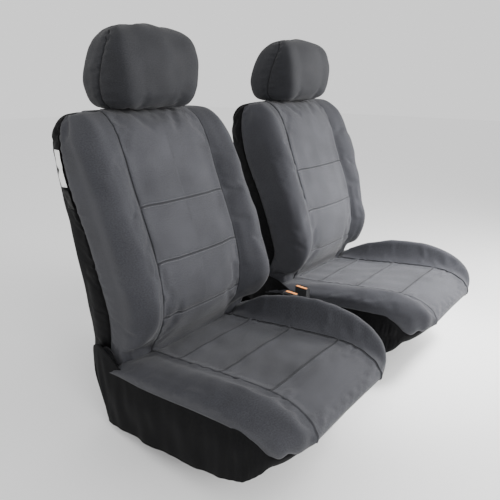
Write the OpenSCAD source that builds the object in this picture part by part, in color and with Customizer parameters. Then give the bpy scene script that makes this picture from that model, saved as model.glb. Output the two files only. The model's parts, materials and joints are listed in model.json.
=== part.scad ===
// Pair of front bucket seats wearing a fitted cover set. Millimetres, +Z up, seats face -Y.
// Seat coordinates: x from the seat's centre line, y from the recline pivot, z from the floor.

/* [Set] */
// Distance between the centre lines of the two seats
seat_pitch = 700; // [640:1:900]
// Height of the recline pivot above the floor
pivot_h = 220; // [190:1:260]
// Half width of the centre panel on cushion and backrest
panel_half_w = 150; // [120:1:180]

/* [Cushion] */
// Half width of the cushion foam
cushion_half_w = 258; // [250:1:310]
// Distance from the recline pivot to the foremost point of the nose
cushion_len = 632; // [560:1:760]
// Height of the sitting surface above the floor at its rear
seat_rear_h = 238; // [200:1:250]
// Height of the sitting surface above the floor just behind the nose
seat_front_h = 293; // [260:1:330]
// Height of the side bolsters above the floor at their highest
cushion_bolster_h = 360; // [330:1:420]
// Height of the underside of the cushion foam above the floor
pan_h = 150; // [125:1:160]
// Radius of the nose's front corners seen from above
nose_corner_r = 85; // [50:1:110]

/* [Backrest] */
// Height of the top of the backrest foam above the recline pivot
back_h = 655; // [540:1:780]
// Half width of the backrest foam at the middle
back_half_w = 250; // [230:1:300]
// Half width of the backrest foam beside the recline pivot
heel_half_w = 231; // [215:1:234]
// Radius of the round heel of the backrest about the recline pivot
heel_r = 76.5; // [60:1:78]
// Height of the lumbar bulge above the recline pivot
lumbar_h = 185; // [150:1:230]
// Distance of the lumbar bulge ahead of the recline pivot
lumbar_reach = 149; // [120:1:175]
// Distance of the side bolsters' crest ahead of the recline pivot at lumbar height
back_bolster_reach = 216; // [190:1:240]
// Lean of the bolsters' crest line behind vertical
crest_lean = 27.3; // [20:0.1:30]
// Lean of the metal frame and headrest posts behind vertical
frame_lean = 8; // [5:0.5:10]

/* [Headrest] */
// Height of the headrest foam
headrest_h = 212; // [180:1:260]
// Half width of the headrest foam
headrest_half_w = 131; // [115:1:160]
// Distance of each headrest post from the centre line
post_x = 70; // [50:1:85]
// Radius of the headrest posts
post_r = 6; // [5:0.1:8]
// How far the headrest lifts
headrest_lift = 60; // [30:1:75]

/* [Covers] */
// Thickness of the neoprene cover cloth
cloth_t = 3; // [1:0.1:5]
// Thickness of the black side cloth and skirt
skirt_t = 2.5; // [1:0.1:4]
// Gap between a soft part and what lies against it
soft_gap = 0.3; // [0.2:0.05:0.6]
// Height of the skirt's hem above the floor at its rear end
hem_rear_h = 24; // [15:1:40]
// Height of the skirt's hem above the floor near the nose
hem_front_h = 98; // [70:1:120]
// Width of the tie straps under the cushion
strap_w = 25; // [15:1:40]
// Thickness of the tie straps
strap_t = 1.5; // [1:0.1:2.5]

/* [Seat frame] */
// Distance of each slide rail from the seat's centre line
rail_x = 150; // [120:1:180]
// Width of a slide rail
rail_w = 42; // [36:1:52]
// Height of the fixed slide rail without its feet
rail_h = 30; // [24:1:36]
// Wall of the slide rails
rail_wall = 2.5; // [2:0.1:4]
// Length of a slide rail
rail_len = 330; // [280:1:360]
// Thickness of the rails' feet
foot_t = 4; // [3:0.5:8]
// Radius of the holes for the floor bolts
floor_bolt_r = 5.5; // [4:0.1:7]
// Thickness of the pressed side plates
plate_t = 3.5; // [2:0.1:5]
// Radius of the cross tubes
tube_r = 12.5; // [8:0.5:15]
// Radius of the recline pivot pins
pivot_r = 12; // [8:0.5:16]
// Radius of the seat release bar
release_r = 5; // [4:0.5:8]

/* [Belt buckle] */
// Distance of the buckle from the seat's centre line
buckle_x = 315; // [300:1:318]
// Length of the buckle's end face, fore and aft
buckle_l = 50; // [40:1:60]
// Width of the buckle's end face
buckle_w = 23; // [19:1:28]
// Height of the buckle
buckle_h = 72; // [55:1:90]
// Height of the buckle's end face above the floor
buckle_top_h = 300; // [280:1:320]
// Distance of the buckle's centre ahead of the recline pivot
buckle_ahead = 232; // [200:1:260]
// Height of the stalk's anchor bolt above the floor
anchor_h = 130; // [115:1:150]
// Radius of the stalk's anchor bolt
anchor_r = 6; // [5:0.5:8]

/* [Hidden] */
$fn = 48;

charcoal = [0.30, 0.31, 0.33];
charcoal_panel = [0.34, 0.35, 0.37];
black_cloth = [0.12, 0.12, 0.13];
foam_colour = [0.86, 0.80, 0.62];
steel = [0.55, 0.57, 0.60];
dark_steel = [0.22, 0.23, 0.25];
black_plastic = [0.10, 0.10, 0.11];
buckle_orange = [0.90, 0.42, 0.16];
label_white = [0.93, 0.93, 0.92];

turn_gap = 0.05;                          // running clearance of pins and bushes
far_out = 500;                            // length that outreaches any soft outline
cover_out = soft_gap + cloth_t;           // outside of the cover, measured from the foam
heel_cut_r = heel_r + cover_out + 0.5;    // hollow in the cushion that the heel turns in
crease_angle = 27;                        // rise of the crease beside the centre panel
crease_half_gap = 0.9;                    // half angle that keeps the creases open
heel_ease = 2;                            // how far the bolster draws in above its heel
back_top_h = pivot_h + back_h;
curve_steps = 2;

// ---------- outline helpers: outlines run anticlockwise ----------

function spline_at(a, b, c, d, t) =
    0.5 * (2 * b + (c - a) * t + (2 * a - 5 * b + 4 * c - d) * t * t
    + (3 * b - a - 3 * c + d) * t * t * t);
function spline(p) = [
    for (i = [0 : len(p) - 2])
        for (k = [0 : curve_steps - 1])
            spline_at(p[max(i - 1, 0)], p[i], p[i + 1], p[min(i + 2, len(p) - 1)], k / curve_steps),
    p[len(p) - 1]
];
function arc(centre, r, from, to, steps) = [
    for (k = [0 : steps]) let (a = from + (to - from) * k / steps)
        [centre[0] + r * cos(a), centre[1] + r * sin(a)]
];
function side_normal(a, b) = [b[1] - a[1], a[0] - b[0]] / norm(b - a);
function grown(p, d) = [
    for (i = [0 : len(p) - 1])
        let (n1 = side_normal(p[(i + len(p) - 1) % len(p)], p[i]),
             n2 = side_normal(p[i], p[(i + 1) % len(p)]))
            p[i] + d * (n1 + n2) / (1 + n1 * n2)
];
function mirrored(p) = [for (i = [len(p) - 1 : -1 : 0]) [-p[i][0], p[i][1]]];
function highest(p, axis) = max([for (q = p) q[axis]]);

module across(profile, x0, x1) {
    translate([x0, 0, 0]) rotate([90, 0, 90]) linear_extrude(x1 - x0) polygon(profile);
}
module along(outline, y0, y1) {
    translate([0, y1, 0]) rotate([90, 0, 0]) linear_extrude(y1 - y0) polygon(outline);
}
module both_sides() {
    children();
    mirror([1, 0, 0]) children();
}
module rod_x(r, x0, x1, y, z) {
    translate([x0, y, z]) rotate([0, 90, 0]) cylinder(r = r, h = x1 - x0);
}
// Places what is drawn upright over the pivot into the leaning frame of the backrest.
module leaning() {
    translate([0, 0, pivot_h]) rotate([-frame_lean, 0, 0]) children();
}

// ---------- cushion outlines ----------

nose_y = -cushion_len;
cushion_side = concat(
    spline([
        [-heel_r, seat_rear_h], [nose_y + 440, seat_rear_h + 15], [nose_y + 285, seat_front_h - 14],
        [nose_y + 125, seat_front_h], [nose_y + 75, seat_front_h - 1], [nose_y + 38, seat_front_h - 12],
        [nose_y + 11, seat_front_h - 30], [nose_y, seat_front_h - 54], [nose_y + 9, seat_front_h - 86],
        [nose_y + 35, pan_h + 24], [nose_y + 80, pan_h]
    ]),
    [[-heel_r + 40, pan_h], [-heel_r + 40, seat_rear_h]]
);
crease_y = -160;
bolster_rear_h = pivot_h - crease_y * tan(crease_angle - crease_half_gap) - cover_out;
cushion_bolster_side = concat(
    spline([
        [crease_y, bolster_rear_h], [crease_y - 45, bolster_rear_h + 45 * tan(crease_angle) - 3],
        [crease_y - 125, cushion_bolster_h - 14], [nose_y + 220, cushion_bolster_h],
        [nose_y + 154, cushion_bolster_h - 4], [nose_y + 90, cushion_bolster_h - 18],
        [nose_y + 42, cushion_bolster_h - 42], [nose_y + 12, cushion_bolster_h - 76],
        [nose_y, seat_front_h - 54], [nose_y + 9, seat_front_h - 86],
        [nose_y + 35, pan_h + 24], [nose_y + 80, pan_h]
    ]),
    [[-heel_r + 40, pan_h], [-heel_r + 20, bolster_rear_h + (crease_y + heel_r - 20) * tan(crease_angle)]]
);
// Section across a side bolster: x from the centre line, second value from its crest.
cushion_hump_x = panel_half_w + 52;
cushion_hump = concat(
    [[panel_half_w, -far_out], [cushion_half_w, -far_out]],
    spline([
        [cushion_half_w, -115], [cushion_half_w - 4, -76], [cushion_half_w - 14, -43],
        [cushion_half_w - 30, -16], [cushion_hump_x + 8, -2], [cushion_hump_x - 6, 0],
        [cushion_hump_x - 20, -16], [panel_half_w + 14, -48], [panel_half_w, -66]
    ])
);
cushion_tilt = 5;
cushion_rear_y = 120;
cushion_plan = concat(
    [[cushion_half_w, cushion_rear_y], [-cushion_half_w, cushion_rear_y]],
    arc([nose_corner_r - cushion_half_w, nose_y + nose_corner_r], nose_corner_r, 180, 270, 6),
    arc([cushion_half_w - nose_corner_r, nose_y + nose_corner_r], nose_corner_r, 270, 360, 6)
);

module cushion_centre_shape(d) {
    across(grown(cushion_side, d), -panel_half_w, panel_half_w);
}
module cushion_bolster_shape(d) {
    both_sides() intersection() {
        across(grown(cushion_bolster_side, d), panel_half_w, far_out);
        translate([0, nose_y + 220, cushion_bolster_h - 4]) rotate([-cushion_tilt, 0, 0])
            along(grown(cushion_hump, d), -far_out, far_out);
        linear_extrude(far_out) polygon(grown(cushion_plan, d));
    }
}
module heel_hollow() {
    rod_x(heel_cut_r, -far_out, far_out, 0, pivot_h);
}

// ---------- backrest outlines ----------

face_lean = 17;
shoulder_h = back_top_h - 65;
lumbar_z = pivot_h + lumbar_h;
face_top_y = -lumbar_reach + (shoulder_h - lumbar_z) * tan(face_lean);
rear_y = heel_r + 68;
back_rear = spline([
    [heel_r, pivot_h + 12], [heel_r + 15, lumbar_z - 56], [heel_r + 22, lumbar_z + 80],
    [rear_y - 30, shoulder_h - 200], [rear_y - 3, shoulder_h - 15], [rear_y - 8, shoulder_h + 35],
    [rear_y - 34, back_top_h - 3]
]);
centre_heel_h = seat_rear_h + 2 * cover_out + 3;
back_heel = arc([0, pivot_h], heel_r, 180 - asin((centre_heel_h - pivot_h) / heel_r), 352, 12);
back_centre_side = concat(
    back_rear,
    spline([
        [rear_y - 75, back_top_h], [face_top_y + 35, back_top_h - 25], [face_top_y, shoulder_h],
        [-lumbar_reach + 64, lumbar_z + 248], [-lumbar_reach + 15, lumbar_z + 102],
        [-lumbar_reach, lumbar_z], [-lumbar_reach + 18, lumbar_z - 90],
        [-heel_r - 4, centre_heel_h + 9]
    ]),
    back_heel
);
crease_edge = [-190, 190 * tan(crease_angle + crease_half_gap) + cover_out];
back_bolster_side = concat(
    back_rear,
    spline([
        [rear_y - 75, back_top_h - 10], [-back_bolster_reach + 228, shoulder_h + 26],
        [-back_bolster_reach + 187, lumbar_z + 362], [-back_bolster_reach + 104, lumbar_z + 229],
        [-back_bolster_reach + 34, lumbar_z + 104], [-back_bolster_reach, lumbar_z],
        [-back_bolster_reach + 6, lumbar_z - 54], [crease_edge[0], pivot_h + crease_edge[1]]
    ]),
    [[-(heel_r - heel_ease) * cos(crease_angle), pivot_h + heel_r * sin(crease_angle) + cover_out + 1]],
    back_heel
);
back_hump_x = panel_half_w + 64;
back_hump = concat(
    spline([
        [panel_half_w, 62], [panel_half_w + 14, 44], [back_hump_x - 28, 14], [back_hump_x - 10, 1],
        [back_hump_x + 6, 0], [back_half_w - 15, 8], [back_half_w - 5, 26], [back_half_w, 60]
    ]),
    [[back_half_w, far_out], [panel_half_w, far_out]]
);
back_front_right = spline([
    [heel_half_w, pivot_h + 70], [back_half_w - 3, pivot_h + 125], [back_half_w, lumbar_z + 60],
    [back_half_w, shoulder_h - 190], [back_half_w - 7, shoulder_h - 60], [back_half_w - 22, shoulder_h + 5],
    [back_half_w - 46, shoulder_h + 42], [panel_half_w + 20, back_top_h - 6],
    [panel_half_w - 30, back_top_h]
]);
back_front = concat(
    [[-heel_half_w, pivot_h - 120], [heel_half_w, pivot_h - 120]],
    back_front_right,
    mirrored(back_front_right)
);

module back_centre_shape(d) {
    intersection() {
        across(grown(back_centre_side, d), -panel_half_w, panel_half_w);
        along(grown(back_front, d), -far_out, far_out);
    }
}
module back_bolster_shape(d) {
    both_sides() intersection() {
        union() {
            intersection() {
                across(grown(back_bolster_side, d), panel_half_w, far_out);
                translate([0, -back_bolster_reach, lumbar_z]) rotate([-crest_lean, 0, 0])
                    translate([0, 0, -far_out]) linear_extrude(3 * far_out) polygon(grown(back_hump, d));
            }
            intersection() {
                across(grown(back_centre_side, d), panel_half_w, back_half_w - 22 + d);
                translate([0, -far_out, lumbar_z + 40]) cube([far_out, 2 * far_out, 2 * far_out]);
            }
        }
        along(grown(back_front, d), -far_out, far_out);
    }
}

// ---------- headrest outlines ----------

headrest_base_h = back_top_h + cover_out + 8;
headrest_y = 52;
headrest_rise = headrest_h - 200;
headrest_side = spline([
    [headrest_y - 42, headrest_base_h + 8], [headrest_y + 20, headrest_base_h],
    [headrest_y + 78, headrest_base_h + 4], [headrest_y + 102, headrest_base_h + 36],
    [headrest_y + 88, headrest_base_h + headrest_rise + 110],
    [headrest_y + 52, headrest_base_h + headrest_h - 28],
    [headrest_y + 8, headrest_base_h + headrest_h - 2],
    [headrest_y - 34, headrest_base_h + headrest_h - 14],
    [headrest_y - 66, headrest_base_h + headrest_h - 52],
    [headrest_y - 78, headrest_base_h + headrest_rise + 88],
    [headrest_y - 66, headrest_base_h + 36], [headrest_y - 42, headrest_base_h + 8]
]);
headrest_outline_right = spline([
    [headrest_half_w - 34, headrest_base_h - 2], [headrest_half_w - 12, headrest_base_h + 18],
    [headrest_half_w - 1, headrest_base_h + 60], [headrest_half_w, headrest_base_h + headrest_rise + 100],
    [headrest_half_w - 7, headrest_base_h + headrest_h - 52],
    [headrest_half_w - 26, headrest_base_h + headrest_h - 18],
    [headrest_half_w - 58, headrest_base_h + headrest_h + 2]
]);
headrest_front = concat(headrest_outline_right, mirrored(headrest_outline_right));

module headrest_shape(d) {
    intersection() {
        across(grown([for (i = [0 : len(headrest_side) - 2]) headrest_side[i]], d), -far_out, far_out);
        along(grown(headrest_front, d), -far_out, far_out);
    }
}

// ---------- placing the two seats ----------

set_front_y = nose_y - cover_out;
set_rear_y = highest(headrest_side, 0) + cover_out;
set_shift = -(set_front_y + set_rear_y) / 2;

module driver() {
    translate([-seat_pitch / 2, set_shift, 0]) children();
}
module passenger() {
    translate([seat_pitch / 2, set_shift, 0]) mirror([1, 0, 0]) children();
}

// ---------- slide rails ----------

rail_front_y = 20 - rail_len;
lip = (rail_w - 2 * rail_wall) / 4;
neck_w = rail_w - 2 * rail_wall - 2 * lip - 4;
slide_gap = 0.3;
upper_rail_top = foot_t + rail_h + 14;
foot_reach = 44;
foot_w = rail_w + 16;
bolt_inset = 22;

module lower_rails() {
    color(dark_steel) both_sides() translate([rail_x, 0, 0]) {
        translate([-rail_w / 2, rail_front_y, foot_t]) difference() {
            cube([rail_w, rail_len, rail_h]);
            translate([rail_wall, -1, rail_wall])
                cube([rail_w - 2 * rail_wall, rail_len + 2, rail_h - 2 * rail_wall]);
            translate([rail_wall + lip, -1, rail_wall])
                cube([rail_w - 2 * rail_wall - 2 * lip, rail_len + 2, rail_h]);
        }
        for (y = [rail_front_y - foot_reach, rail_front_y + rail_len - 20])
            difference() {
                translate([-foot_w / 2, y, 0]) cube([foot_w, foot_reach + 20, foot_t]);
                translate([0, y < rail_front_y ? y + bolt_inset : y + foot_reach + 20 - bolt_inset, -1])
                    cylinder(r = floor_bolt_r, h = foot_t + 2);
            }
    }
}

module upper_rails() {
    base_w = rail_w - 2 * rail_wall - 2 * slide_gap;
    base_z = foot_t + rail_wall + slide_gap;
    color(steel) both_sides() translate([rail_x, rail_front_y + 10, 0]) {
        translate([-base_w / 2, 0, base_z]) cube([base_w, rail_len - 20, rail_h / 3]);
        translate([-neck_w / 2, 0, base_z]) cube([neck_w, rail_len - 20, upper_rail_top - base_z]);
    }
}

// ---------- cushion frame ----------

plate_x = heel_half_w + cover_out + 3.2;
tube_z = pan_h - soft_gap - 3 - tube_r;
spring_t = 3;
front_tube_y = nose_y + 180;
rear_tube_y = -52;
ear_r = pivot_r + 26;
leg_t = 4;
release_y = rail_front_y + 26;
release_z = upper_rail_top + 26;

module cushion_frame() {
    plate_low = tube_z - 36;
    color(dark_steel) difference() {
        union() {
            both_sides() {
                across([
                    [front_tube_y - 40, plate_low + 10], [front_tube_y - 20, plate_low],
                    [20, plate_low], [ear_r, pivot_h - 20], [ear_r, pivot_h], [-ear_r, pivot_h],
                    [-ear_r, pan_h - soft_gap], [front_tube_y - 40, pan_h - soft_gap]
                ], plate_x, plate_x + plate_t);
                rod_x(ear_r, plate_x, plate_x + plate_t, 0, pivot_h);
                across([
                    [rail_front_y + 10, upper_rail_top], [-10, upper_rail_top],
                    [rear_tube_y + 10, tube_z], [front_tube_y, tube_z]
                ], rail_x - leg_t / 2, rail_x + leg_t / 2);
            }
            for (y = [front_tube_y, rear_tube_y])
                rod_x(tube_r, -plate_x - 1, plate_x + 1, y, tube_z);
        }
        rod_x(pivot_r + turn_gap, -far_out, far_out, 0, pivot_h);
        rod_x(release_r + turn_gap, -rail_x - leg_t, rail_x + leg_t, release_y, release_z);
        rod_x(anchor_r + turn_gap, 0, far_out, anchor_y, anchor_h);
        for (y = strap_y)
            translate([-rail_x - leg_t, y - strap_w / 2 - 3, strap_z - 3])
                cube([2 * (rail_x + leg_t), strap_w + 6, strap_t + 6]);
    }
}

// Flat sinuous spring: a wavy strip lying across the seat or along it.
module wavy_strip(length, swing, width, waves, thick) {
    steps = waves * 8;
    edge = [for (k = [0 : steps]) [length * k / steps, swing * sin(360 * waves * k / steps)]];
    linear_extrude(thick) polygon(concat(
        [for (p = edge) p - [0, width / 2]],
        [for (k = [steps : -1 : 0]) edge[k] + [0, width / 2]]
    ));
}

module cushion_springs() {
    strip_len = rear_tube_y - front_tube_y + tube_r;
    color(steel) for (x = [-120, -40, 40, 120])
        translate([x, rear_tube_y, tube_z + tube_r]) rotate([0, 0, -90])
            wavy_strip(strip_len, 14, 4.5, 5, spring_t);
}

module release_bar() {
    arm_x = rail_x - leg_t / 2 - 6 - release_r;
    bar_y = release_y - 60;
    color(steel) union() {
        rod_x(release_r, -arm_x, arm_x, bar_y, release_z);
        both_sides() {
            translate([arm_x, bar_y, release_z]) sphere(r = release_r);
            translate([arm_x, release_y, release_z]) rotate([90, 0, 0])
                cylinder(r = release_r, h = release_y - bar_y);
            translate([arm_x, release_y, release_z]) sphere(r = release_r);
            rod_x(release_r, arm_x, rail_x + leg_t / 2 + 2, release_y, release_z);
        }
    }
}

// ---------- recline pivots and lever ----------

lever_x = plate_x + plate_t + 3.5;
lever_t = 3.5;

module recline_pivots() {
    color(steel) both_sides() {
        rod_x(pivot_r, back_plate_x - 6, lever_x + lever_t + 1, 0, pivot_h);
        rod_x(pivot_r + 6, back_plate_x - 6, back_plate_x - 0.1, 0, pivot_h);
        rod_x(pivot_r + 2, plate_x + plate_t + 0.1, lever_x - 0.1, 0, pivot_h);
    }
}

module recline_lever() {
    low_y = -16;
    low_z = pivot_h - 92;
    tip_y = -132;
    tip_z = pan_h - 46;
    color(black_plastic) mirror([1, 0, 0]) difference() {
        union() {
            rod_x(pivot_r + 8, lever_x, lever_x + lever_t, 0, pivot_h);
            across([
                [low_y - 12, low_z - 8], [low_y + 10, low_z - 14], [pivot_r + 6, pivot_h],
                [-pivot_r - 6, pivot_h]
            ], lever_x, lever_x + lever_t);
            across([
                [tip_y, tip_z - 8], [low_y + 10, low_z - 14], [low_y - 12, low_z + 4],
                [tip_y, tip_z + 8]
            ], lever_x, lever_x + lever_t);
            rod_x(8, lever_x, lever_x + lever_t, tip_y, tip_z);
        }
        rod_x(pivot_r + turn_gap, -far_out, far_out, 0, pivot_h);
    }
}

// ---------- cushion soft parts ----------

module cushion_foam() {
    color(foam_colour) difference() {
        union() {
            cushion_centre_shape(0);
            cushion_bolster_shape(0);
        }
        heel_hollow();
    }
}

skirt_top = [
    [heel_r + 4, pivot_h - 46], [0, pivot_h - 26], [-52, seat_rear_h - 26], [-136, seat_rear_h - 24],
    [nose_y + 377, seat_front_h - 64], [nose_y + 236, seat_front_h - 43],
    [nose_y + 115, seat_front_h - 33], [nose_y + 60, seat_front_h - 50],
    [nose_y + 34, pan_h + 40], [nose_y + 34, pan_h + 20]
];

// Everything above the seam between the cushion cover and the skirt, with the whole nose.
module above_skirt_seam() {
    across(concat(
        skirt_top, [
            [nose_y + 60, pan_h - 20], [nose_y - 60, pan_h - 20], [nose_y - 60, far_out],
            [heel_r + 4, far_out]
        ]), -far_out, far_out);
}

module cushion_centre_cover() {
    color(charcoal_panel) intersection() {
        difference() {
            cushion_centre_shape(cover_out);
            cushion_centre_shape(soft_gap);
            heel_hollow();
        }
        above_skirt_seam();
    }
}

module cushion_bolster_cover() {
    color(charcoal) intersection() {
        difference() {
            cushion_bolster_shape(cover_out);
            cushion_bolster_shape(soft_gap);
            translate([-panel_half_w, -2 * far_out, 0]) cube([2 * panel_half_w, 4 * far_out, 2 * far_out]);
            heel_hollow();
        }
        above_skirt_seam();
    }
}

skirt_x = cushion_half_w + cover_out + soft_gap;

module skirt() {
    hem = [
        [nose_y + 34, pan_h + 20], [nose_y + 50, hem_front_h + 52], [nose_y + 80, hem_front_h + 12],
        [nose_y + 115, hem_front_h], [-20, hem_rear_h], [10, hem_rear_h + 2], [44, hem_rear_h + 30],
        [64, hem_rear_h + 90]
    ];
    top = [for (p = skirt_top) p + [0, 3]];
    color(black_cloth) difference() {
        intersection() {
            linear_extrude(far_out) polygon(grown(cushion_plan, cover_out + soft_gap + skirt_t));
            across(concat(hem, top), -far_out, far_out);
        }
        translate([0, 0, -1]) linear_extrude(far_out + 2)
            polygon(grown(cushion_plan, cover_out + soft_gap));
        rod_x(anchor_r + 3, 0, far_out, anchor_y, anchor_h);
    }
}

strap_z = tube_z - 36 - 6;
strap_y = [nose_y + 245, nose_y + 420];

module tie_straps() {
    color(black_cloth) for (y = strap_y)
        translate([-skirt_x, y - strap_w / 2, strap_z]) cube([2 * skirt_x, strap_w, strap_t]);
}

module strap_buckles() {
    ring = 4;
    color(black_plastic) for (y = strap_y)
        difference() {
            translate([-9, y - strap_w / 2 - ring, strap_z - ring])
                cube([18, strap_w + 2 * ring, strap_t + 2 * ring]);
            translate([-10, y - strap_w / 2 - soft_gap, strap_z - soft_gap])
                cube([20, strap_w + 2 * soft_gap, strap_t + 2 * soft_gap]);
        }
}

// ---------- belt buckle ----------

anchor_y = -118;
stalk_t = 3;
stalk_x = skirt_x + skirt_t + 3.5;
stalk_w = 22;
buckle_base_h = buckle_top_h - buckle_h;
button_w = 9;
button_l = buckle_l - 9;
button_deep = 8;
button_travel = 3;
tongue_t = 3.4;
tongue_w = 27;

module buckle_anchor() {
    color(steel) {
        rod_x(anchor_r, plate_x - 6, stalk_x + stalk_t + 8, anchor_y, anchor_h);
        rod_x(anchor_r + 5, plate_x - 6, plate_x - 0.1, anchor_y, anchor_h);
        rod_x(anchor_r + 4, plate_x + plate_t + 0.1, skirt_x - 2, anchor_y, anchor_h);
        rod_x(anchor_r + 5, stalk_x + stalk_t + 0.3, stalk_x + stalk_t + 8, anchor_y, anchor_h);
    }
}

module buckle_stalk() {
    knee = anchor_h + 26;
    color(black_plastic) difference() {
        union() {
            rod_x(16, stalk_x, stalk_x + stalk_t, anchor_y, anchor_h);
            intersection() {
                across([
                    [anchor_y - 11, anchor_h - 6], [anchor_y + 12, anchor_h + 8],
                    [-buckle_ahead + stalk_w / 2, buckle_base_h], [-buckle_ahead - stalk_w / 2, buckle_base_h]
                ], stalk_x - 10, buckle_x + 30);
                along([
                    [stalk_x, anchor_h - 20], [stalk_x + stalk_t, anchor_h - 20],
                    [stalk_x + stalk_t, knee], [buckle_x + stalk_t / 2, buckle_base_h - 12],
                    [buckle_x + stalk_t / 2, buckle_base_h], [buckle_x - stalk_t / 2, buckle_base_h],
                    [buckle_x - stalk_t / 2, buckle_base_h - 12], [stalk_x, knee + 2]
                ], -far_out, 0);
            }
        }
        rod_x(anchor_r + 0.1, stalk_x - 1, stalk_x + stalk_t + 1, anchor_y, anchor_h);
    }
}

module rounded_block(w, l, h, r) {
    linear_extrude(h) polygon(concat(
        arc([w / 2 - r, l / 2 - r], r, 0, 90, 4), arc([r - w / 2, l / 2 - r], r, 90, 180, 4),
        arc([r - w / 2, r - l / 2], r, 180, 270, 4), arc([w / 2 - r, r - l / 2], r, 270, 360, 4)
    ));
}

module at_buckle() {
    translate([buckle_x, -buckle_ahead, buckle_base_h]) children();
}

module buckle_housing() {
    color(black_plastic) at_buckle() difference() {
        rounded_block(buckle_w, buckle_l, buckle_h, 5);
        translate([1, -button_l / 2 - soft_gap, buckle_h - button_deep - button_travel - 1])
            cube([button_w + 2 * soft_gap, button_l + 2 * soft_gap, 2 * buckle_h]);
        translate([-button_w / 2 - 2, -tongue_w / 2, buckle_h - 30])
            cube([tongue_t, tongue_w, buckle_h]);
    }
}

module buckle_button() {
    color(buckle_orange) at_buckle()
        translate([1 + soft_gap, -button_l / 2, buckle_h - button_deep])
            cube([button_w, button_l, button_deep + 1]);
}

// ---------- backrest frame ----------

back_plate_x = heel_half_w - 17;
bay_half = 33;
bay_x = back_plate_x + plate_t + 3;
frame_top = back_h - 58;
frame_half = bay_half - 0.3 - 2.4;
guide_r = post_r + soft_gap + 4.2;
collar_r = guide_r + 6;
collar_top = (back_h + cover_out + 1.5) / cos(frame_lean);
collar_room = 3;

module frame_bay() {
    leaning() translate([-bay_x, -bay_half, -frame_half - soft_gap])
        cube([2 * bay_x, 2 * bay_half, frame_top + frame_half + 2 * soft_gap]);
}

module back_frame() {
    color(dark_steel) leaning() difference() {
        union() {
            both_sides() {
                across([
                    [-frame_half, 0], [frame_half, 0], [frame_half - 8, frame_top],
                    [8 - frame_half, frame_top]
                ], back_plate_x, back_plate_x + plate_t);
                rod_x(frame_half, back_plate_x, back_plate_x + plate_t, 0, 0);
            }
            translate([-back_plate_x - 1, 8 - frame_half, frame_top - 38])
                cube([2 * back_plate_x + 2, 2 * frame_half - 16, 38]);
            rod_x(10, -back_plate_x - 1, back_plate_x + 1, 0, 70);
        }
        rod_x(pivot_r + turn_gap, -far_out, far_out, 0, 0);
        for (x = [-post_x, post_x])
            translate([x, 0, frame_top - 60]) cylinder(r = guide_r + turn_gap, h = back_h);
    }
}

module back_springs() {
    color(steel) leaning() for (u = [0.28, 0.48, 0.68])
        translate([-back_plate_x - plate_t, -frame_half, u * frame_top]) rotate([90, 0, 0])
            wavy_strip(2 * (back_plate_x + plate_t), 16, 4.5, 6, 2.4);
}

module post_holes(r, from, to) {
    leaning() for (x = [-post_x, post_x])
        translate([x, 0, from]) cylinder(r = r, h = to - from);
}

module back_openings() {
    post_holes(guide_r + soft_gap, frame_top, 2 * back_h);
    post_holes(collar_r + collar_room, collar_top - 9, 2 * back_h);
    rod_x(pivot_r + 1, -far_out, far_out, 0, pivot_h);
}

module back_foam() {
    color(foam_colour) difference() {
        union() {
            back_centre_shape(0);
            back_bolster_shape(0);
        }
        frame_bay();
        back_openings();
    }
}

// ---------- backrest covers ----------

// Seam between the charcoal face and the black sides, seen from the side.
back_seam = [
    [-60, pivot_h - 110], [11, pivot_h - 8], [-18, lumbar_z - 84], [-5, lumbar_z], [18, lumbar_z + 84],
    [37, lumbar_z + 180], [58, lumbar_z + 240], [79, shoulder_h - 110], [100, shoulder_h - 20],
    [112, shoulder_h + 20], [118, back_top_h + 60]
];

module back_face_zone(x0, x1) {
    across(concat(back_seam, [[-far_out, back_top_h + 60], [-far_out, pivot_h - 110]]), x0, x1);
}
module back_rear_zone(x0, x1) {
    across(concat(
        [[far_out, pivot_h - 110], [far_out, back_top_h + 60]],
        [for (i = [len(back_seam) - 1 : -1 : 0]) back_seam[i]]
    ), x0, x1);
}

module back_centre_cover() {
    color(charcoal_panel) intersection() {
        difference() {
            back_centre_shape(cover_out);
            back_centre_shape(soft_gap);
            back_openings();
        }
        back_face_zone(-panel_half_w, panel_half_w);
    }
}

module back_bolster_skin() {
    difference() {
        back_bolster_shape(cover_out);
        back_bolster_shape(soft_gap);
        translate([-panel_half_w, -2 * far_out, 0]) cube([2 * panel_half_w, 4 * far_out, 3 * far_out]);
        back_openings();
    }
}

module back_bolster_cover() {
    color(charcoal) intersection() {
        back_bolster_skin();
        back_face_zone(-far_out, far_out);
    }
}

module back_side_panels() {
    color(black_cloth) intersection() {
        back_bolster_skin();
        back_rear_zone(-far_out, far_out);
        both_sides() translate([heel_half_w - 12, -2 * far_out, 0])
            cube([far_out, 4 * far_out, 3 * far_out]);
    }
}

module back_rear_panel() {
    color(black_cloth) intersection() {
        union() {
            back_bolster_skin();
            difference() {
                back_centre_shape(cover_out);
                back_centre_shape(soft_gap);
                back_openings();
            }
        }
        back_rear_zone(-heel_half_w + 12, heel_half_w - 12);
    }
}

module sewn_labels() {
    edge_x = back_half_w + cover_out + 0.8;
    taper = 1.9;
    color(label_white) translate([taper - edge_x, 96, shoulder_h - 120]) rotate([-14, 0, 0])
        cube([0.8, 34, 74]);
    color(black_plastic) translate([-edge_x, 74, shoulder_h - 176]) rotate([-14, 0, 0])
        cube([0.8, 26, 40]);
}

// ---------- headrest ----------

module headrest_guides() {
    color(black_plastic) leaning() for (x = [-post_x, post_x]) translate([x, 0, 0])
        difference() {
            union() {
                translate([0, 0, frame_top - 50]) cylinder(r = guide_r, h = collar_top - frame_top + 50);
                translate([0, 0, collar_top - 8.5]) cylinder(r = collar_r, h = 8.5);
            }
            cylinder(r = post_r + 0.1, h = 2 * back_h);
            if (x < 0)
                translate([-collar_r - 1, -3.3, collar_top - 4]) cube([collar_r, 6.6, 3]);
        }
}

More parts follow.
